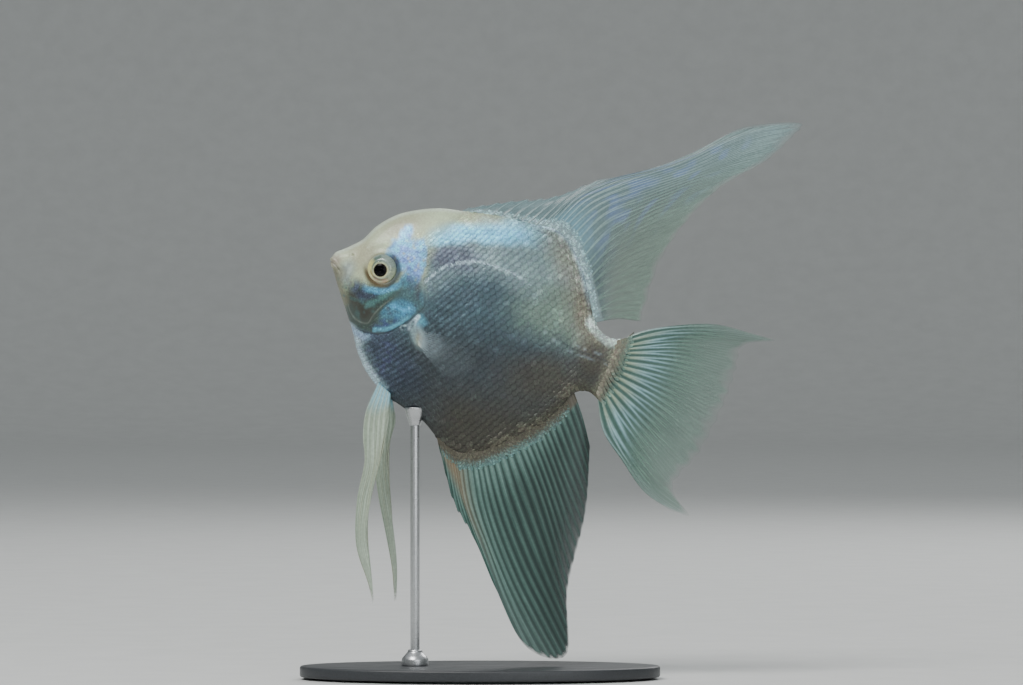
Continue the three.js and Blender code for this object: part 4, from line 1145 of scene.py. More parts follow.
# %% The guide rays of each fin, in percent
DORSAL = {
    "rays": 28, "spines": 11, "notch": (0.5, 1.1), "guides": {
        0: [(34.4, 30.9), (36.4, 33.1)],
        3: [(44.7, 33.8), (46.8, 37.5), (49.2, 40.6)],
        6: [(54.4, 35.5), (57.8, 41.4), (62.2, 47.4)],
        9: [(61.7, 36.9), (66.0, 46.1), (73.3, 57.5)],
        10: [(62.9, 37.1), (67.4, 47.6), (75.2, 57.6), (88.1, 66.4)],
        11: [(64.1, 37.3), (69.0, 49.0), (77.5, 58.6), (89.6, 67.6), (101.0, 79.0)],
        12: [(65.4, 37.4), (70.6, 49.4), (80.0, 59.2), (95.0, 71.4), (112.2, 91.4)],
        13: [(66.8, 37.4), (72.0, 49.0), (81.4, 58.8), (97.0, 71.6), (113.6, 88.8), (130.0, 99.2)],
        15: [(69.6, 36.6), (75.6, 48.4), (86.0, 58.6), (101.6, 71.6), (116.4, 85.6), (128.2, 94.0)],
        17: [(73.6, 34.0), (79.4, 47.3), (91.2, 58.4), (107.2, 72.4), (123.8, 84.6)],
        20: [(79.4, 28.1), (84.1, 39.9), (93.7, 51.9), (111.1, 67.9)],
        24: [(84.6, 21.2), (89.2, 28.7), (102.6, 42.1)],
        27: [(90.0, 12.9), (96.1, 16.4), (103.5, 18.5)],
    },
    "sway": lambda u, v: 2.2 * v * v * np.sin(2.6 * u + 1.2 * v),
}
ANAL = {
    "rays": 30, "spines": 7, "notch": (0.12, 1.4), "forked": False, "fray": 0.97, "guides": {
        0: [(54.4, -42.4), (56.7, -45.8)],
        2.5: [(58.4, -44.4), (62.9, -52.3), (68.0, -61.0)],
        5: [(61.3, -45.4), (69.3, -58.7), (77.4, -68.5)],
        6.3: [(62.7, -45.6), (70.2, -58.4), (79.4, -69.1), (92.0, -83.1)],
        7.6: [(64.4, -45.2), (72.0, -58.6), (82.0, -70.0), (94.9, -84.6), (106.7, -96.0)],
        10: [(68.0, -43.5), (77.6, -59.1), (91.4, -75.1), (104.2, -87.2), (116.0, -97.0)],
        12.6: [(71.4, -41.0), (82.6, -57.0), (97.2, -73.0), (110.0, -84.6), (120.6, -94.1)],
        17.6: [(79.3, -33.1), (93.8, -49.2), (113.3, -73.7)],
        24: [(86.9, -23.3), (98.9, -36.5), (109.5, -47.4)],
        29: [(91.8, -12.0), (97.2, -18.4), (103.0, -26.6)],
    },
    "sway": lambda u, v: -2.0 * v * v * np.sin(3.0 * u + 0.9 * v),
}
CAUDAL = {
    "rays": 16, "spines": 0, "notch": (0.6, 0.6), "guides": {
        0: [(99.8, 10.6), (104.5, 15.1), (113.1, 20.5), (126.8, 26.5), (139.4, 28.2)],
        1: [(99.7, 9.2), (110.9, 17.1), (123.0, 22.5), (135.9, 26.1), (147.4, 28.8)],
        2: [(99.8, 7.8), (117.8, 17.6), (138.2, 23.1)],
        4: [(99.9, 5.7), (119.6, 13.0), (139.0, 15.5)],
        7: [(99.7, 1.7), (118.1, 3.1), (139.4, 2.5)],
        10: [(99.6, -2.7), (116.8, -7.4), (137.6, -15.0)],
        13: [(99.5, -7.0), (114.7, -18.6), (133.6, -29.4)],
        14: [(99.5, -8.8), (107.7, -18.8), (121.8, -29.4), (130.5, -33.5), (142.0, -35.9)],
        15: [(99.3, -10.3), (104.9, -19.9), (114.4, -26.9), (125.0, -33.9), (136.0, -36.6)],
    },
    "sway": lambda u, v: 1.6 * v * v * np.sin(4.2 * u + 0.4),
}
PELVIC_LEFT = {
    "rays": 6, "spines": 1, "notch": (0.8, 0.8), "guides": {
        0: [
            (29.4, -34.3), (29.2, -42.9), (31.3, -50.7), (34.7, -57.9),
            (37.2, -71.2), (42.5, -85.3), (50.8, -95.6), (54.6, -101.2),
        ],
        2: [
            (31.8, -35.0), (32.3, -42.2), (34.9, -50.8), (37.6, -58.6),
            (39.6, -71.6), (43.9, -84.7), (51.6, -95.0), (54.4, -99.9),
        ],
        4: [(34.0, -35.7), (35.2, -41.4), (37.6, -50.0), (39.4, -58.2), (41.6, -70.4), (44.4, -81.0)],
        5: [(35.5, -36.2), (37.0, -40.9), (38.8, -49.2), (40.0, -58.7), (40.9, -67.4)],
    },
    "sway": lambda u, v: -1.7 - 4.6 * v,
}
PELVIC_RIGHT = {
    "rays": 6, "spines": 1, "notch": (0.8, 0.8), "guides": {
        0: [
            (30.3, -34.6), (32.3, -44.6), (36.6, -55.4), (42.9, -67.2),
            (49.6, -77.8), (56.3, -88.8), (61.0, -98.8),
        ],
        2: [
            (32.8, -35.4), (36.0, -45.1), (39.6, -56.2), (45.3, -67.2),
            (51.3, -77.5), (57.5, -88.3), (61.3, -98.0),
        ],
        4: [(34.9, -36.1), (38.4, -44.0), (41.0, -55.0), (46.6, -66.0), (52.6, -78.0)],
        5: [(36.4, -36.6), (39.4, -41.9), (40.4, -49.4), (44.8, -61.2), (49.8, -71.8)],
    },
    "sway": lambda u, v: 1.7 + 3.6 * v,
}
PECTORAL = {
    "rays": 12, "spines": 0, "notch": (0.4, 0.4), "guides": {
        0: [(34.8, -11.4), (44.5, -9.8), (54.0, -11.1)],
        4: [(36.2, -13.1), (46.8, -12.9), (57.9, -13.9)],
        8: [(37.5, -14.7), (46.6, -16.9), (56.3, -18.8)],
        11: [(38.5, -16.4), (44.1, -19.6), (49.9, -22.7)],
    },
}
PECTORAL_SPLAY = 0.68
ROOT_DEPTH = 1.7  # how far a fin runs down into the flesh, mm


# %% Where a ray runs, and how its ridge stands and splits
def ray_table(fin, rays, samples=121):
    """Places of the given rays at even shares of their length, and each ray's length in mm."""
    alongs = np.linspace(0, 1, samples)
    curves, lengths = [], []
    for places in fin["guides"].values():
        knots = flat(places)
        inward = knots[0] - knots[1]
        knots = np.vstack([knots[0] + inward * ROOT_DEPTH / np.linalg.norm(inward), knots])
        points, length = by_length(knots, alongs)
        curves.append(points)
        lengths.append(length)
    numbers = np.array(list(fin["guides"]), float)
    share = np.interp(rays, numbers, np.arange(len(numbers))) / (len(numbers) - 1)
    table = np.stack([through([curve[k] for curve in curves], share) for k in range(samples)])
    return table, np.interp(rays, numbers, lengths)


FORKS = ((0.1, 0.45, 0.25), (0.4, 0.75, 0.125), (0.7, 1.0, 0.0625))  # from, to, and reach in rays


def strands(rays, along, spines, forked):
    """Height of the ridge, 0 to 1: one strand at the root, two half way and four at the edge."""
    off = np.abs(rays - np.round(rays))
    for start, end, reach in FORKS[:2] if forked else ():
        off = np.abs(off - reach * smooth(start, end, along) * (rays > spines - 0.5))
    return np.exp(-((off / (0.16 - 0.09 * smooth(0.1, 0.7, along))) ** 2))


# %% One fin
def make_fin(fin, name, rows, per_ray, ridge, membrane=0.1, root=0.3, spine_ridge=0.2):
    """A fin's sheet from its guide rays. Half thicknesses of membrane, root and ridges are in mm."""
    last = fin["rays"] - 1
    u_count = last * per_ray

    def place(u, v, side):
        columns, back = np.unique(np.round(u * u_count).astype(int), return_inverse=True)
        rays = columns / per_ray
        table, lengths = ray_table(fin, rays)
        height = strands(rays[back], v, fin["spines"], fin.get("forked", True))
        notch = np.where(rays < fin["spines"] - 0.5, fin["notch"][1], fin["notch"][0])
        tip = np.exp(-(((rays - np.round(rays)) / 0.3) ** 2))
        reach = 1 - (notch * (1 - tip) / np.maximum(lengths, 1))[back]
        at = v * reach * (len(table) - 1)
        k = np.minimum(at.astype(int), len(table) - 2)
        w = (at - k)[:, None]
        points = table[k, back] * (1 - w) + table[k + 1, back] * w
        points[:, 1] = fin["sway"](rays[back] / last, v * reach)
        stand = np.where(rays[back] < fin["spines"] - 0.5, spine_ridge, ridge)
        half = membrane + root * (1 - v) ** 4 + stand * height * (1 - 0.65 * v)
        edge = np.minimum(smooth(0, 0.35, rays[back]), smooth(0, 0.35, last - rays[back]))
        edge = edge * smooth(1, 0.985, v)
        at_edge = np.minimum(np.minimum(u, 1 - u), np.minimum(v, 1 - v)) < 1e-6
        half = half * np.where(at_edge, 0, np.maximum(edge, 0.25))
        points[:, 1] += side * half
        return points

    bm = bmesh.new()
    for side in (LEFT, RIGHT):
        part = bmesh.new()
        bmesh.ops.create_grid(part, x_segments=u_count, y_segments=rows, size=0.5)
        if side == RIGHT:
            bmesh.ops.reverse_faces(part, faces=part.faces)
        map_net(part, lambda u, v: place(u, v, side), "net")
        scratch = bpy.data.meshes.new("half")
        part.to_mesh(scratch)
        part.free()
        bm.from_mesh(scratch)
        bpy.data.meshes.remove(scratch)
    bmesh.ops.remove_doubles(bm, verts=bm.verts, dist=1e-7)
    return finish_mesh(bm, name)


# %% Reading a fin's own net back, and its finish
def net_of(piece):
    """Each vertex's place on the fin's net: across it and along it, 0 to 1."""
    mesh = piece.data
    uv = np.empty(2 * len(mesh.loops), np.float32)
    index = np.empty(len(mesh.loops), np.int32)
    mesh.uv_layers["net"].uv.foreach_get("vector", uv)
    mesh.loops.foreach_get("vertex_index", index)
    place = np.zeros((len(mesh.vertices), 2))
    place[index] = uv.reshape(-1, 2)
    return place.T


def blended(tree, low, high, factor):
    """Low where the factor is 0, and high where it is 1."""
    return vector_of(tree, "ADD", low, tinted(tree, vector_of(tree, "SUBTRACT", high, low), factor))


def fin_finish(name, roughness, coat):
    """Draws the fine strands of the rays from each place's ray number and its share along the ray."""
    finish, tree, shader = new_finish(
        name, Roughness=roughness, Coat_Weight=coat, Coat_Roughness=0.15, IOR=1.4)
    ray, along, width, strength = (attribute(tree, part) for part in ("ray", "along", "width", "strength"))
    off = math_of(tree, "PINGPONG", ray, 0.5)
    for start, end, reach in FORKS:
        fork = math_of(tree, "MULTIPLY", ramp(tree, along, start, end, 0, reach), attribute(tree, "forked"))
        off = math_of(tree, "ABSOLUTE", math_of(tree, "SUBTRACT", off, fork))
    strand = ramp(tree, off, width, math_of(tree, "MULTIPLY", width, attribute(tree, "core")))
    across_rays, up_rays = math_of(tree, "MULTIPLY", ray, 6.0), math_of(tree, "MULTIPLY", along, 5.0)
    place = node(tree, "CombineXYZ", X=across_rays, Y=up_rays)
    streak = ramp(tree, grain(tree, 1.0, 3, 0.6, place.outputs[0]), 0.3, 0.7, 0.82, 1.18)
    drawn = math_of(tree, "MULTIPLY", math_of(tree, "MULTIPLY", strand, strength), streak)
    colours = blended(tree, attribute(tree, "marking", "Color"), attribute(tree, "ray_tone", "Color"), drawn)
    uneven = math_of(tree, "MULTIPLY", streak, ramp(tree, grain(tree, 1500, 3), 0.3, 0.7, 0.88, 1.12))
    tree.links.new(tinted(tree, colours, uneven), shader.inputs["Base Color"])
    denser = math_of(tree, "MULTIPLY", drawn, attribute(tree, "ray_opacity"))
    denser = math_of(tree, "ADD", attribute(tree, "opacity"), denser)
    tree.links.new(ramp(tree, denser, 0, 1), shader.inputs["Alpha"])
    tree.links.new(attribute(tree, "sheen"), shader.inputs["Metallic"])
    wrinkles = ramp(tree, grain(tree, 2200, 3), 0, 1, 0, 0.5)
    bumped(tree, shader, math_of(tree, "ADD", drawn, wrinkles), 0.00005)
    return finish


clear_fin = fin_finish("clear fin", 0.42, 0.3)
firm_fin = fin_finish("firm fin", 0.5, 0.2)

# %% The palette of the fins
MEMBRANE_BLUE = colour(104, 130, 134)
MEMBRANE_GREEN = colour(94, 120, 106)
ANAL_DARK = colour(32, 56, 52)
ANAL_TEAL = colour(72, 104, 96)
ANAL_PALE = colour(112, 146, 138)
CAUDAL_GAP = colour(66, 98, 90)
CAUDAL_OUTER = colour(86, 118, 106)
RAY_PALE = colour(160, 186, 184)
RAY_GREEN = colour(134, 166, 150)
RAY_CREAM = colour(172, 190, 162)
RAY_BLUE = colour(146, 196, 214)
STREAMER_GREY = colour(84, 100, 98)
AMBER = colour(150, 122, 92)
PELVIC_CREAM = colour(146, 160, 142)
PELVIC_PALE = colour(182, 196, 180)
PELVIC_TAN = colour(150, 146, 112)


# %% Painting a fin
def colour_fin(piece, fin, scheme, finish, node_name):
    """Paints a fin by its scheme, from each place's ray number and its share along the ray."""
    across, along = net_of(piece)
    rays = across * (fin["rays"] - 1)

    def ray_field(by_ray, by_length, seed):
        return mottle(np.stack([rays * by_ray, along * by_length, 0 * rays], 1), 1.0, seed)

    streak = ray_field(1.3, 3, 5)
    guides = list(fin["guides"])
    height = along * np.interp(rays, guides, ray_table(fin, guides)[1]) - ROOT_DEPTH
    layers = {
        "forked": 1.0 * fin.get("forked", True) * (rays > fin["spines"] - 0.5),
        "sheen": 0 * rays, "ray_opacity": 0.35 + 0 * rays, "core": 0.3 + 0 * rays,
        **scheme(across, along, rays, streak)}
    skirt, reach = fin.get("skirt", (np.zeros(3), 0))
    in_skirt = smooth(reach, 0.6 * reach - 0.1, height) * (reach > 0)
    for name in ("marking", "ray_tone"):
        layers[name] = over(layers[name], skirt, in_skirt) * (1 + 0.08 * streak)[:, None]
    fray = fin.get("fray", 0.9)
    frayed = smooth(1.0, fray + 0.5 * (1 - fray) * ray_field(2.5, 0, 9), along)
    for name in ("opacity", "ray_opacity"):
        layers[name] = layers[name] * (0.15 + 0.85 * frayed)
    paint(piece, ray=rays, along=along, **layers)
    piece.data.materials.append(finish)
    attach(piece, "root")
    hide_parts(node_name)


# %% What each fin looks like, from its front ray to its last and from root to edge
def dorsal_scheme(across, along, rays, streak):
    grey = 0.8 * smooth(0.36, 0.4, across) * smooth(0.5, 0.42, across) * smooth(0.35, 0.6, along)
    steps = smooth(0.0, 0.5, mottle(np.stack([rays * 0.8, along * 22, 0 * rays], 1), 1.0, 8))
    middle = smooth(0.34, 0.45, across) * smooth(0.85, 0.65, across)
    middle = middle * smooth(0.08, 0.25, along) * smooth(0.95, 0.7, along)
    base = coats(
        MEMBRANE_BLUE,
        (MEMBRANE_GREEN, smooth(0.45, 0.85, across) * smooth(0.1, 0.5, along)),
        (STREAMER_GREY, grey),
        (LAVENDER, 0.3 * steps * middle),
        (SKY * 0.7, 0.3 * smooth(0.2, 0.04, along) * smooth(0.8, 0.6, across)))
    clearer = 0.45 * smooth(0.45, 0.9, across) * smooth(0.05, 0.4, along)
    return {
        "marking": base * (1 - 0.4 * smooth(0.62, 0.9, across) * smooth(0.5, 0.1, along))[:, None],
        "ray_tone": over(RAY_PALE, RAY_GREEN * 0.85, smooth(0.5, 0.9, across)),
        "strength": 0.42 - 0.05 * smooth(0.3, 0.9, along), "width": 0.18 - 0.08 * smooth(0.1, 0.5, along),
        "opacity": 0.78 + 0.2 * smooth(0.3, 0, along) - clearer}


def anal_scheme(across, along, rays, streak):
    front = smooth(0.46, 0.24, across)
    bands = over(ANAL_TEAL, ANAL_PALE, np.maximum(0.9 * smooth(0.3, 0.04, along), 0.6 * front))
    base = over(ANAL_DARK, ANAL_TEAL * 0.9, 0.55 * front + 0.4 * smooth(0.25, 0.05, along) * (1 - front))
    amber = 0.8 * smooth(0.34, 0.16, across) * smooth(0.05, 0.1, along) * smooth(0.7, 0.2, along)
    dim = 1 - 0.3 * smooth(0.35, 0.6, across) * smooth(0.12, 0.4, along) - 0.15 * smooth(0.5, 0.9, along)
    return {
        "marking": over(base, AMBER * 0.7, amber) * dim[:, None],
        "ray_tone": over(bands, AMBER, 0.8 * amber) * dim[:, None],
        "strength": 0.9 - 0.3 * smooth(0.4, 0.95, along), "width": 0.44 - 0.06 * smooth(0.1, 0.4, along),
        "core": 0.2 + 0.3 * front, "opacity": 0.95 - 0.3 * smooth(0.6, 1, along) * smooth(0.4, 0.75, across)}


def caudal_scheme(across, along, rays, streak):
    tone = coats(
        RAY_CREAM,
        (RAY_BLUE, 0.8 * smooth(0.16, 0.36, along + 0.06 * streak)),
        (RAY_GREEN, smooth(0.4, 0.6, along)),
        (RAY_PALE, 0.7 * np.maximum(smooth(0.12, 0.02, across), smooth(0.9, 0.98, across))))
    reach = 0.46 + 0.07 * streak
    return {
        "marking": over(CAUDAL_GAP, CAUDAL_OUTER, smooth(0.3, 0.7, along)), "ray_tone": tone * 0.8,
        "strength": 0.85 - 0.4 * smooth(reach - 0.16, reach + 0.1, along),
        "width": 0.3 - 0.21 * smooth(0.15, 0.6, along), "core": 0.08 + 0 * rays,
        "sheen": 0.15 * smooth(0.6, 0.3, along), "opacity": 0.85 - 0.55 * smooth(0.3, 0.95, along)}


def pelvic_scheme(across, along, rays, streak):
    base = over(PELVIC_CREAM, SKY, 0.45 * smooth(0.16, 0.04, along))
    return {
        "marking": over(base, PELVIC_TAN, 0.6 * smooth(0.25, 0.5, along) * smooth(-0.4, 0.5, streak)),
        "ray_tone": PELVIC_PALE, "strength": 0.6 + 0 * rays, "width": 0.22 - 0.1 * smooth(0.2, 0.6, along),
        "opacity": 1.0 - 0.5 * smooth(0.8, 1.0, across + 0.25 * streak)}


def pectoral_scheme(across, along, rays, streak):
    root_shade = smooth(0.24, 0.1, along) * smooth(0.1, 0.3, across) * smooth(0.75, 0.55, across)
    base = coats(
        RAY_PALE,
        (SILVER, smooth(0.3, 0.1, along)),
        (TAN * 0.8, 0.8 * root_shade),
        # A painted highlight along the fleshy root of the lower rays.
        (PALE_EDGE * 1.2, smooth(0.22, 0.1, along) * smooth(0.66, 0.8, across)))
    return {
        "marking": base, "ray_tone": SILVER, "strength": 1.0 - 0.5 * smooth(0.3, 1, along),
        "width": 0.16 - 0.06 * along, "opacity": 0.012 + 0.6 * smooth(0.2, 0.06, along),
        "ray_opacity": 0.01 + 0.34 * smooth(0.62, 0.12, along)}


# %% The fins along the middle, whose skirts of flesh reach up under the sheaths of scales
DORSAL["skirt"] = UPPER_GREY, 2.4
ANAL["skirt"] = BELLY_BROWN * 1.5, 3.0
for fin, name, rows, scheme in (
    (DORSAL, "dorsal_fin", 84, dorsal_scheme), (ANAL, "anal_fin", 84, anal_scheme),
    (CAUDAL, "caudal_fin", 72, caudal_scheme),
):
    per_ray, ridge = (12, 0.04) if fin is ANAL else (16, 0.1)
    piece = make_fin(fin, name + "_sheet", rows, per_ray, ridge)
    colour_fin(piece, fin, scheme, clear_fin, name)

# %% The paired fins
for fin, name in ((PELVIC_LEFT, "pelvic_fin_left"), (PELVIC_RIGHT, "pelvic_fin_right")):
    piece = make_fin(fin, name + "_sheet", 120, 12, 0.12, membrane=0.2, root=0.5, spine_ridge=0.16)
    colour_fin(piece, fin, pelvic_scheme, firm_fin, name)

PECTORAL_ROOT = flank_depth(36.5, -13.5) - ROOT_DEPTH * 0.8
PECTORAL_REACH = float(percent(24)) * PECTORAL_SPLAY
for side, word in ((LEFT, "left"), (RIGHT, "right")):
    def splay(u, v, side=side):
        return side * (PECTORAL_ROOT + PECTORAL_REACH * v + 1.6 * np.sin(np.pi * v) * (u - 0.5))

    spread = {**PECTORAL, "sway": splay}
    piece = make_fin(spread, f"pectoral_fin_{word}_sheet", 48, 12, 0.07, membrane=0.06, root=0.4)
    colour_fin(piece, PECTORAL, pectoral_scheme, clear_fin, f"pectoral_fin_{word}")

# %% [markdown]
# ## Scales on the roots of the fins
# An angelfish's scales climb from the body on to its fins, smaller and smaller, and hide the line
# where flesh ends and fin begins. They stand on both faces of a fin and point out along its rays.


# %% Sheaths of small scales
TABLE_STEPS = 240


def sheath(fin, name, start, end, reach, size, low, high, flesh, flashes, seed):
    """Scales on a fin's root, between two rays and up to a reach in mm, from one colour to another."""
    top_reach = np.max(reach)
    for side, word in ((LEFT, "left"), (RIGHT, "right")):
        rng = np.random.default_rng(seed + side)
        fine_rays = np.linspace(start, end, 300)
        table, _ = ray_table(fin, fine_rays, TABLE_STEPS + 1)
        run = np.concatenate([[0], np.cumsum(np.linalg.norm(np.diff(table[8], axis=0), axis=1))])
        places, number = [], 0
        depth = ROOT_DEPTH - 0.6
        while depth < ROOT_DEPTH + top_reach:
            gap = size * (1 - 0.4 * (depth - ROOT_DEPTH) / top_reach)
            at = np.arange(0.865 * gap * (number % 2), run[-1], 1.73 * gap)
            rays = np.interp(at, run, fine_rays)
            allowed = np.interp(rays, np.linspace(start, end, len(reach)), reach)
            allowed = ROOT_DEPTH + allowed * (0.95 + 0.28 * rng.normal(size=len(rays)))
            places += [(ray, depth, gap) for ray, most in zip(rays, allowed) if depth < most]
            depth += 0.5 * gap
            number += 1
        rays, depth, gap = np.array(places).T
        table, lengths = ray_table(fin, rays, TABLE_STEPS + 1)
        share = depth / lengths
        place = share * TABLE_STEPS
        k, column = place.astype(int), np.arange(len(rays))
        points = table[k, column] + (table[k + 1, column] - table[k, column]) * (place - k)[:, None]
        tailward = table[k + 2, column] - table[k, column]
        tailward /= np.linalg.norm(tailward, axis=1)[:, None]
        half = 0.16 + 0.3 * (1 - share) ** 4
        over_root = np.clip(1 - (depth - ROOT_DEPTH) / (1.6 * SLEEVE), 0, 1) ** 0.8
        thin = flesh * over_root * np.sqrt(np.clip(1 - (points[:, 2] / 9.5) ** 2, 0.05, 1))
        points[:, 1] = fin["sway"](rays / (fin["rays"] - 1), share) + side * np.maximum(half, thin)
        normal = np.tile([0.0, side, 0.0], (len(rays), 1))
        normal = normal + tailward * (0.25 * flesh * (thin > half))[:, None]
        normal /= np.linalg.norm(normal, axis=1)[:, None]
        climb = smooth(0, 1, (depth - ROOT_DEPTH) / top_reach + 0.1 * rng.normal(size=len(rays)))
        tones = np.repeat(over(low, high, climb), len(SCALE_CORNERS), 0)
        near = place_on_flank(np.clip(points[:, 0], 1, 79.5), points[:, 2] * 0.9)
        unwrap = np.stack(flank_to_net(near[0], near[1] if side == RIGHT else np.pi - near[1]), 1)
        plates = lay_plates(
            f"{name}_{word}", points, normal, tailward, np.cross(normal, tailward),
            1.75 * gap, 1.4 * gap, 0.05 * gap, unwrap % 1,
            lambda corners: (tones, np.full(len(corners), 0.3)), contrast=0.45, flashes=flashes, seed=seed)
        plates.data.materials.append(scale_finish)
        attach(plates, "root")


sheath(
    DORSAL, "dorsal_sheath", 1, 26.5, (0.8, 1.4, 2.2, 2.6, 2.0, 1.4, 0.7), 0.55,
    UPPER_GREY * 1.1, MEMBRANE_BLUE * 1.25, flesh=0.6, flashes=0.45, seed=41)
sheath(
    ANAL, "anal_sheath", 1, 27.5, (1.8, 3.0, 3.6, 3.2, 2.6, 1.8), 0.6,
    BELLY_BROWN * 1.5, RAY_PALE * (0.3, 0.4, 0.38), flesh=1.0, flashes=0.3, seed=51)
sheath(
    CAUDAL, "caudal_sheath", 0.4, 14.6, (3.2, 3.4, 3.6, 3.4, 3.2), 0.75,
    PINK_BROWN * 0.9, RAY_GREEN * 0.6, flesh=1.35, flashes=0.15, seed=61)

# %% [markdown]
# ## Eyes
# A fish's eye is a flattened ball with a metallic iris, a round pupil that stands a little proud,
# and a clear cornea over both. The ball is turned from a profile, with its rings closest together
# at the rim.


# %% The eye's own frame, and a lathe for its pieces
def eye_room(points, side):
    """From the eye's own frame (y outward) to the room."""
    cos, sin = math.cos(side * EYE["turn"]), math.sin(side * EYE["turn"])
    x, y, z = points.T
    y = y * side
    turned = np.stack([x * cos - y * sin, x * sin + y * cos, z], 1)
    eye_x, eye_z = (place * MM_PER_PERCENT for place in EYE_AT)
    return to_room(turned + (eye_x, side * (flank_depth(*EYE_AT) - EYE["depth"]), eye_z))


def lathe(chain, axis, segments, merge):
    """A bmesh turned once round an axis through the origin, from a chain of places."""
    bm = bmesh.new()
    verts = [bm.verts.new(place) for place in chain]
    for near, far in zip(verts, verts[1:]):
        bm.edges.new((near, far))
    bmesh.ops.spin(
        bm, geom=bm.verts[:] + bm.edges[:], cent=(0, 0, 0), axis=axis, angle=2 * math.pi, steps=segments,
        use_merge=True)
    bmesh.ops.remove_doubles(bm, verts=bm.verts, dist=merge)
    return bm


def round_piece(name, side, profile, segments=72, middle=(0, 0)):
    """A lathe-turned piece of the eye: profile is (radius, outward) points from rim to middle."""
    bm = lathe([(radius, outward, 0) for radius, outward in profile], (0, 1, 0), segments, 1e-4)
    bmesh.ops.holes_fill(bm, edges=bm.edges, sides=segments)
    own = np.array([v.co[:] for v in bm.verts]) + (middle[0], 0, middle[1])
    for vert, point in zip(bm.verts, eye_room(own, side)):
        vert.co = point
    return finish_mesh(bm, name), own


# %% Finishes of the eye
IRIS_PALE = colour(164, 178, 148)
IRIS_CREAM = colour(216, 214, 168)
IRIS_YELLOW = colour(226, 224, 150)
IRIS_DARK = colour(76, 100, 90)
IRIS_GREY = colour(134, 152, 146)
IRIS_ORANGE = colour(200, 156, 132)
PUPIL_AT = (-0.07, -0.43)  # the pupil sits a little low in the iris, mm

iris_finish, tree, shader = new_finish(
    "iris", Roughness=0.3, Coat_Weight=0.7, Coat_Roughness=0.03, Metallic=0.2)
fleck = ramp(tree, grain(tree, 4200, 4, 0.7), 0.35, 0.65, 0.8, 1.22)
tree.links.new(tinted(tree, attribute(tree, "marking", "Color"), fleck), shader.inputs["Base Color"])
bumped(tree, shader, grain(tree, 3000, 3), 0.00006)

pupil_finish, tree, shader = new_finish(
    "pupil", Base_Color=(0.001, 0.001, 0.0015, 1), Specular_IOR_Level=0.05,
    Coat_Weight=0.12, Coat_Roughness=0.02)
tree.links.new(ramp(tree, grain(tree, 900), 0.3, 0.7, 0.1, 0.2), shader.inputs["Roughness"])

cornea_finish, tree, shader = new_finish(
    "cornea", Base_Color=(0.08, 0.08, 0.08, 1), Roughness=0.02, IOR=1.37)
tree.links.new(ramp(tree, grain(tree, 300), 0.3, 0.7, 0.015, 0.03), shader.inputs["Alpha"])


# %% The iris, painted from its middle outwards
def iris_colours(own):
    """Colours of places on the eyeball, given in the eye's own frame, mm."""
    ex, ez = own[:, 0], own[:, 2]
    away = np.hypot(ex - PUPIL_AT[0], ez - PUPIL_AT[1])
    outer = np.hypot(ex, ez)
    round_angle = np.arctan2(ez, ex)
    streak = mottle(np.stack([4 * np.cos(round_angle), 4 * np.sin(round_angle), 0.5 * outer], 1), 0.35, 7)
    blot = mottle(np.stack([ex, ez, 0 * ex], 1), 0.45, 3)

    def towards(way_x, way_z, low, high):
        return smooth(low, high, (way_x * ex + way_z * ez) / np.maximum(outer, 0.5))

    def ring(at, wide, core):
        return smooth(wide, core, np.abs(away - at))

    ahead, below = towards(-0.93, -0.37, 0.5, 0.95), towards(-0.1, -1, 0.3, 0.8)
    rim_shadow = towards(-0.88, 0.48, 0.6, 0.92) * smooth(2.1, 2.5, away + 0.2 * blot)
    rim_shadow = rim_shadow * smooth(3.7, 3.2, outer + 0.4 * blot)
    blotches = smooth(0.0, 0.6, blot) * smooth(2.1, 2.5, away) * (1 - ahead)
    orange = np.maximum(
        spot(ex, ez, (2.0, -2.75), (0.8, 0.5), 35, 0.9),
        0.5 * spot(ex, ez, (-0.3, -3.2), (0.8, 0.4), 0, 0.6))
    shade = coats(
        IRIS_PALE,
        (IRIS_GREY, 0.9 * smooth(0.2, 1.8, ez + 0.3 * streak) * smooth(2.0, 2.6, away)),
        (IRIS_DARK, 0.9 * rim_shadow),
        (IRIS_GREY * 0.6, 0.6 * blotches),
        (IRIS_GREY * 0.4, 0.85 * towards(-0.7, -0.72, 0.3, 0.8) * ring(2.45 + 0.1 * blot, 0.5, 0.15)),
        (IRIS_CREAM, 0.8 * ring(1.98, 0.26, 0.08) * (0.25 + 0.75 * towards(0.6, -0.8, -0.4, 0.6))),
        (IRIS_YELLOW, 0.95 * ahead * smooth(2.3, 2.9, outer)),
        (IRIS_CREAM, 0.8 * below * smooth(3.0, 3.4, outer)),
        (IRIS_BROWN, 0.7 * below * smooth(0.3, 0.1, np.abs(outer - 2.95))),
        (IRIS_ORANGE, 0.65 * orange),
        (IRIS_BROWN * 0.4, smooth(1.9, 1.76, away)))
    return shade * (1 + 0.12 * streak + 0.06 * blot)[:, None]


# %% Eyeballs, pupils and corneas
def dome(r, radius):
    """Height of a unit dome over its rim, r away from its middle."""
    return math.sqrt(max(1 - (r / radius) ** 2, 0))


def eyeball_front(r):
    """How far the eyeball stands out: a dish round the pupil, and a groove near the rim."""
    dish = 0.22 * float(smooth(2.6, 1.5, r)) + 0.1 * math.exp(-(((r - 3.3) / 0.35) ** 2))
    return EYE["bulge"] * dome(r, EYE["radius"]) - dish


def quarter(steps):
    """Angles over a quarter turn, from the rim of a dome to its middle."""
    return np.linspace(0, np.pi / 2, steps)


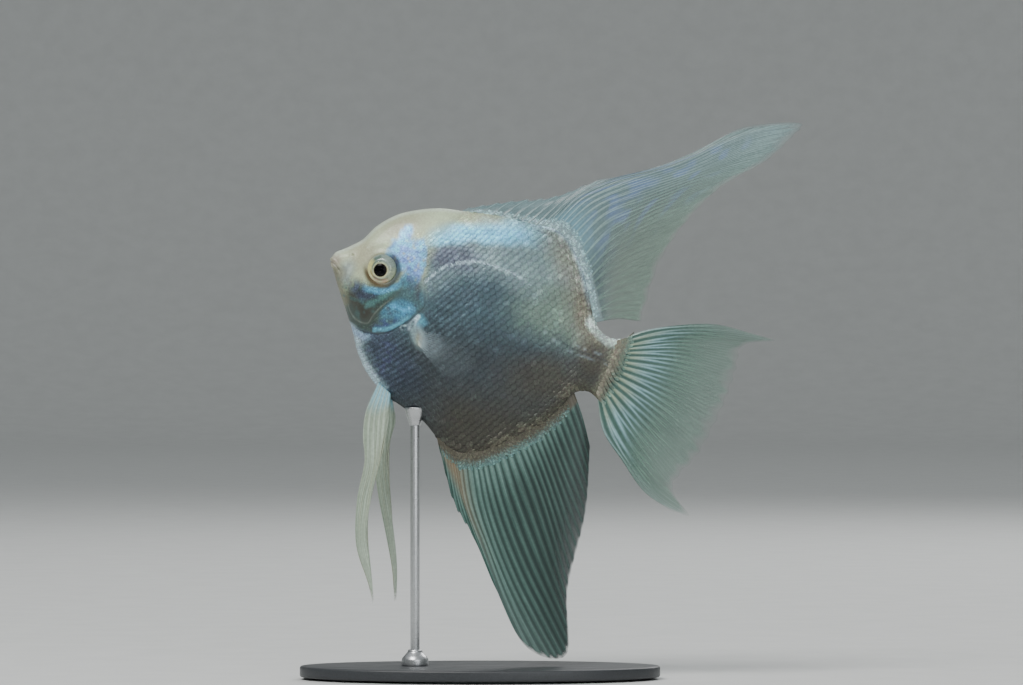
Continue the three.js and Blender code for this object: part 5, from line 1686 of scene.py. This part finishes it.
bulge, radius = EYE["bulge"], EYE["radius"]
under = [(r, -0.6 * bulge * dome(r, radius)) for r in radius * np.sin(quarter(7)[:-1])]
front = [(r, eyeball_front(r)) for r in radius * np.cos(quarter(44))]
pupil_profile = [(1.5, bulge - 0.9)]
pupil_profile += [(1.7 * math.cos(turn), bulge - 0.42 + 0.42 * math.sin(turn)) for turn in quarter(16)]
cornea_profile = [
    (r, 0.16 + bulge * dome(r, radius + 0.05) + 0.12 * float(smooth(3, 0, r)))
    for r in (radius - 0.1) * np.cos(quarter(24))]

for side, word in ((LEFT, "left"), (RIGHT, "right")):
    eye, own = round_piece(f"eyeball_{word}", side, under + front)
    paint(eye, marking=iris_colours(own))
    eye.data.materials.append(iris_finish)
    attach(eye, "root")
    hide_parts(f"eye_{word}")

    lens, _ = round_piece(f"pupil_lens_{word}", side, pupil_profile, 56, PUPIL_AT)
    lens.data.materials.append(pupil_finish)
    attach(lens, "root")
    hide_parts(f"pupil_{word}")

    cornea, _ = round_piece(f"cornea_{word}", side, cornea_profile, 64)
    cornea.data.materials.append(cornea_finish)
    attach(cornea, "root")

# %% [markdown]
# ## The stand
# An oval base of painted steel, a turned collar, one polished rod and a small cup that holds the
# belly's keel. Each is turned or extruded, and every edge is bevelled, because a real metal edge
# always catches a line of light.

# %% Sizes of the stand, mm, and a lathe for upright pieces
BASE = {"half_length": 48.0, "half_depth": 25.0, "height": 3.0, "bevel": 0.6}
ROD_X, ROD_RADIUS = -17.3, 1.25
GAP = 0.3


def turned_piece(name, profile, segments=64):
    """A piece turned round the rod's line: profile is (radius, height) in mm, bottom to top."""
    bm = lathe([(r * MM, 0, h * MM) for r, h in profile], (0, 0, 1), segments, 1e-7)
    bmesh.ops.translate(bm, verts=bm.verts, vec=(ROD_X * MM, 0, 0))
    return finish_mesh(bm, name)


def rounded(corners, radius):
    """A profile with each inner corner rounded off."""
    out, steps = [corners[0]], 4
    for before, corner, after in zip(corners, corners[1:], corners[2:]):
        corner = np.array(corner, float)
        for k in range(steps + 1):
            s = k / steps
            toward = [np.array(p, float) - corner for p in (before, after)]
            ends = [corner + v / np.linalg.norm(v) * min(radius, 0.45 * np.linalg.norm(v)) for v in toward]
            out.append(tuple((1 - s) ** 2 * ends[0] + 2 * s * (1 - s) * corner + s * s * ends[1]))
    return out + [corners[-1]]


# %% The metal finishes
painted, tree, shader = new_finish("charcoal paint", Coat_Weight=0.25, Coat_Roughness=0.3)
speck = ramp(tree, grain(tree, 2600, 2), 0.35, 0.7, 0.85, 1.25)
base_colour = node(tree, "RGB")
base_colour.outputs[0].default_value = (0.028, 0.031, 0.035, 1)
tree.links.new(tinted(tree, base_colour.outputs[0], speck), shader.inputs["Base Color"])
tree.links.new(ramp(tree, grain(tree, 120, 4), 0.3, 0.7, 0.4, 0.58), shader.inputs["Roughness"])
bumped(tree, shader, grain(tree, 1400, 2), 0.00006)

brushed, tree, shader = new_finish("brushed steel", Base_Color=(0.56, 0.57, 0.58, 1), Metallic=1.0)
where = tree.nodes.new("ShaderNodeTexCoord").outputs["Object"]
stretched = node(tree, "Mapping", Vector=where, Scale=(900, 900, 9000)).outputs["Vector"]
lines = grain(tree, 1.0, 4, 0.6, stretched)
tree.links.new(ramp(tree, lines, 0.3, 0.7, 0.22, 0.4), shader.inputs["Roughness"])
bumped(tree, shader, lines, 0.00002)

# %% Base, collar, rod and saddle
bm = bmesh.new()
bmesh.ops.create_circle(bm, segments=160, radius=1.0, cap_ends=True)
bmesh.ops.scale(bm, verts=bm.verts, vec=(BASE["half_length"] * MM, BASE["half_depth"] * MM, 1))
slab = bmesh.ops.extrude_face_region(bm, geom=bm.faces[:])["geom"]
slab_top = [g for g in slab if isinstance(g, bmesh.types.BMVert)]
bmesh.ops.translate(bm, verts=slab_top, vec=(0, 0, BASE["height"] * MM))
rim_edges = [e for e in bm.edges if abs(e.verts[0].co.z - e.verts[1].co.z) < 1e-9]
bmesh.ops.bevel(
    bm, geom=rim_edges, offset=BASE["bevel"] * MM, offset_type="OFFSET", segments=5, profile=0.5,
    affect="EDGES", material=-1)
base = finish_mesh(bm, "stand_base_plate")

saddle_low, saddle_high = (corner.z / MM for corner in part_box("stand_saddle"))
rod_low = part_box("stand_rod")[0].z / MM
collar_low, collar_high = (corner.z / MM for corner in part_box("stand_collar"))
c = collar_low
collar = turned_piece("stand_collar_turned", rounded([
    (0, c - GAP), (3.6, c - GAP), (3.6, c + 1.4), (3.1, c + 2.2), (2.0, c + 3.3), (1.85, collar_high),
    (0, collar_high),
], 0.35))
foot, tip = rod_low - 0.8, saddle_low + 0.1
rod_profile = rounded([(0, foot), (ROD_RADIUS, foot), (ROD_RADIUS, tip), (0, tip)], 0.1)
rod = turned_piece("stand_rod_bar", rod_profile, 48)
s, lip = saddle_low, saddle_high - 0.15
saddle = turned_piece("stand_saddle_cup", rounded([
    (0, s), (1.5, s), (1.75, s + 1.2), (2.3, s + 2.6), (2.7, s + 4.3), (2.7, lip), (2.25, lip),
    (1.9, s + 3.6), (0, s + 2.9),
], 0.22), 56)
for piece, node_name, finish, slot in (
    (base, "stand_base", painted, "base_paint"), (collar, "stand_collar", brushed, "rod_steel"),
    (rod, "stand_rod", brushed, "rod_steel"), (saddle, "stand_saddle", brushed, "rod_steel"),
):
    piece.data.materials.append(finish)
    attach(piece, "root")
    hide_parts(node_name)

# %% [markdown]
# ## Floor, light and camera
# A wide pale bowl makes floor and background in one, so that every side view has the same quiet
# setting. The key light comes from above and in front of the snout, as an aquarium lamp does.

# %% The bowl
FLOOR_RADIUS, FILLET, WALL, FLOOR_Z = 3.4, 0.9, 3.2, -0.0006  # metres
profile = [(0, FLOOR_Z), (FLOOR_RADIUS, FLOOR_Z)]
for turn in np.linspace(0, math.pi / 2, 17)[1:]:
    profile.append((FLOOR_RADIUS + FILLET * math.sin(turn), FILLET * (1 - math.cos(turn)) + FLOOR_Z))
profile.append((FLOOR_RADIUS + FILLET, WALL))
bowl = finish_mesh(lathe([(r, 0, h) for r, h in profile], (0, 0, 1), 96, 1e-6), "studio_bowl", outward=False)
bowl_finish, tree, shader = new_finish("matte floor", Roughness=0.9)
shade = node(tree, "RGB")
shade.outputs[0].default_value = (0.62, 0.63, 0.62, 1)
cloud = ramp(tree, grain(tree, 60, 3), 0.3, 0.7, 0.97, 1.03)
tree.links.new(tinted(tree, shade.outputs[0], cloud), shader.inputs["Base Color"])
bowl.data.materials.append(bowl_finish)


# %% Lights and the room's own pale light
FISH_MIDDLE = (0.01, 0, 0.085)  # metres


def softbox(name, place, size, power, tone):
    """A round lamp, metres and watts, aimed at the fish."""
    lamp = bpy.data.lights.new(name, "AREA")
    lamp.shape, lamp.size, lamp.energy, lamp.color = "DISK", size, power, tone
    holder = bpy.data.objects.new(name, lamp)
    holder.location = place
    aim = mathutils.Vector(FISH_MIDDLE) - mathutils.Vector(place)
    holder.rotation_euler = aim.to_track_quat("-Z", "Y").to_euler()
    bpy.context.scene.collection.objects.link(holder)


softbox("key", (-0.45, -0.75, 1.15), 0.7, 16, (1.0, 0.99, 0.97))
softbox("front fill", (0.6, -1.5, 0.45), 1.2, 7, (0.93, 0.97, 1.0))
softbox("back glow", (0.5, 1.0, 0.9), 0.9, 8, (1.0, 1.0, 1.0))

world = bpy.data.worlds.new("pale room")
world.use_nodes = True
world.node_tree.nodes["Background"].inputs["Color"].default_value = (0.86, 0.9, 0.92, 1)
world.node_tree.nodes["Background"].inputs["Strength"].default_value = 0.55
bpy.context.scene.world = world

# %% The camera, level and square to the fish's left side
camera = bpy.data.objects.new("camera", bpy.data.cameras.new("camera"))
camera.data.sensor_width = 36
camera.data.lens = 198.2
camera.data.clip_start, camera.data.clip_end = 0.05, 20
camera.location = (0.00839, -1.5, 0.08906)
camera.rotation_euler = (math.pi / 2, 0, 0)
bpy.context.scene.collection.objects.link(camera)
bpy.context.scene.camera = camera
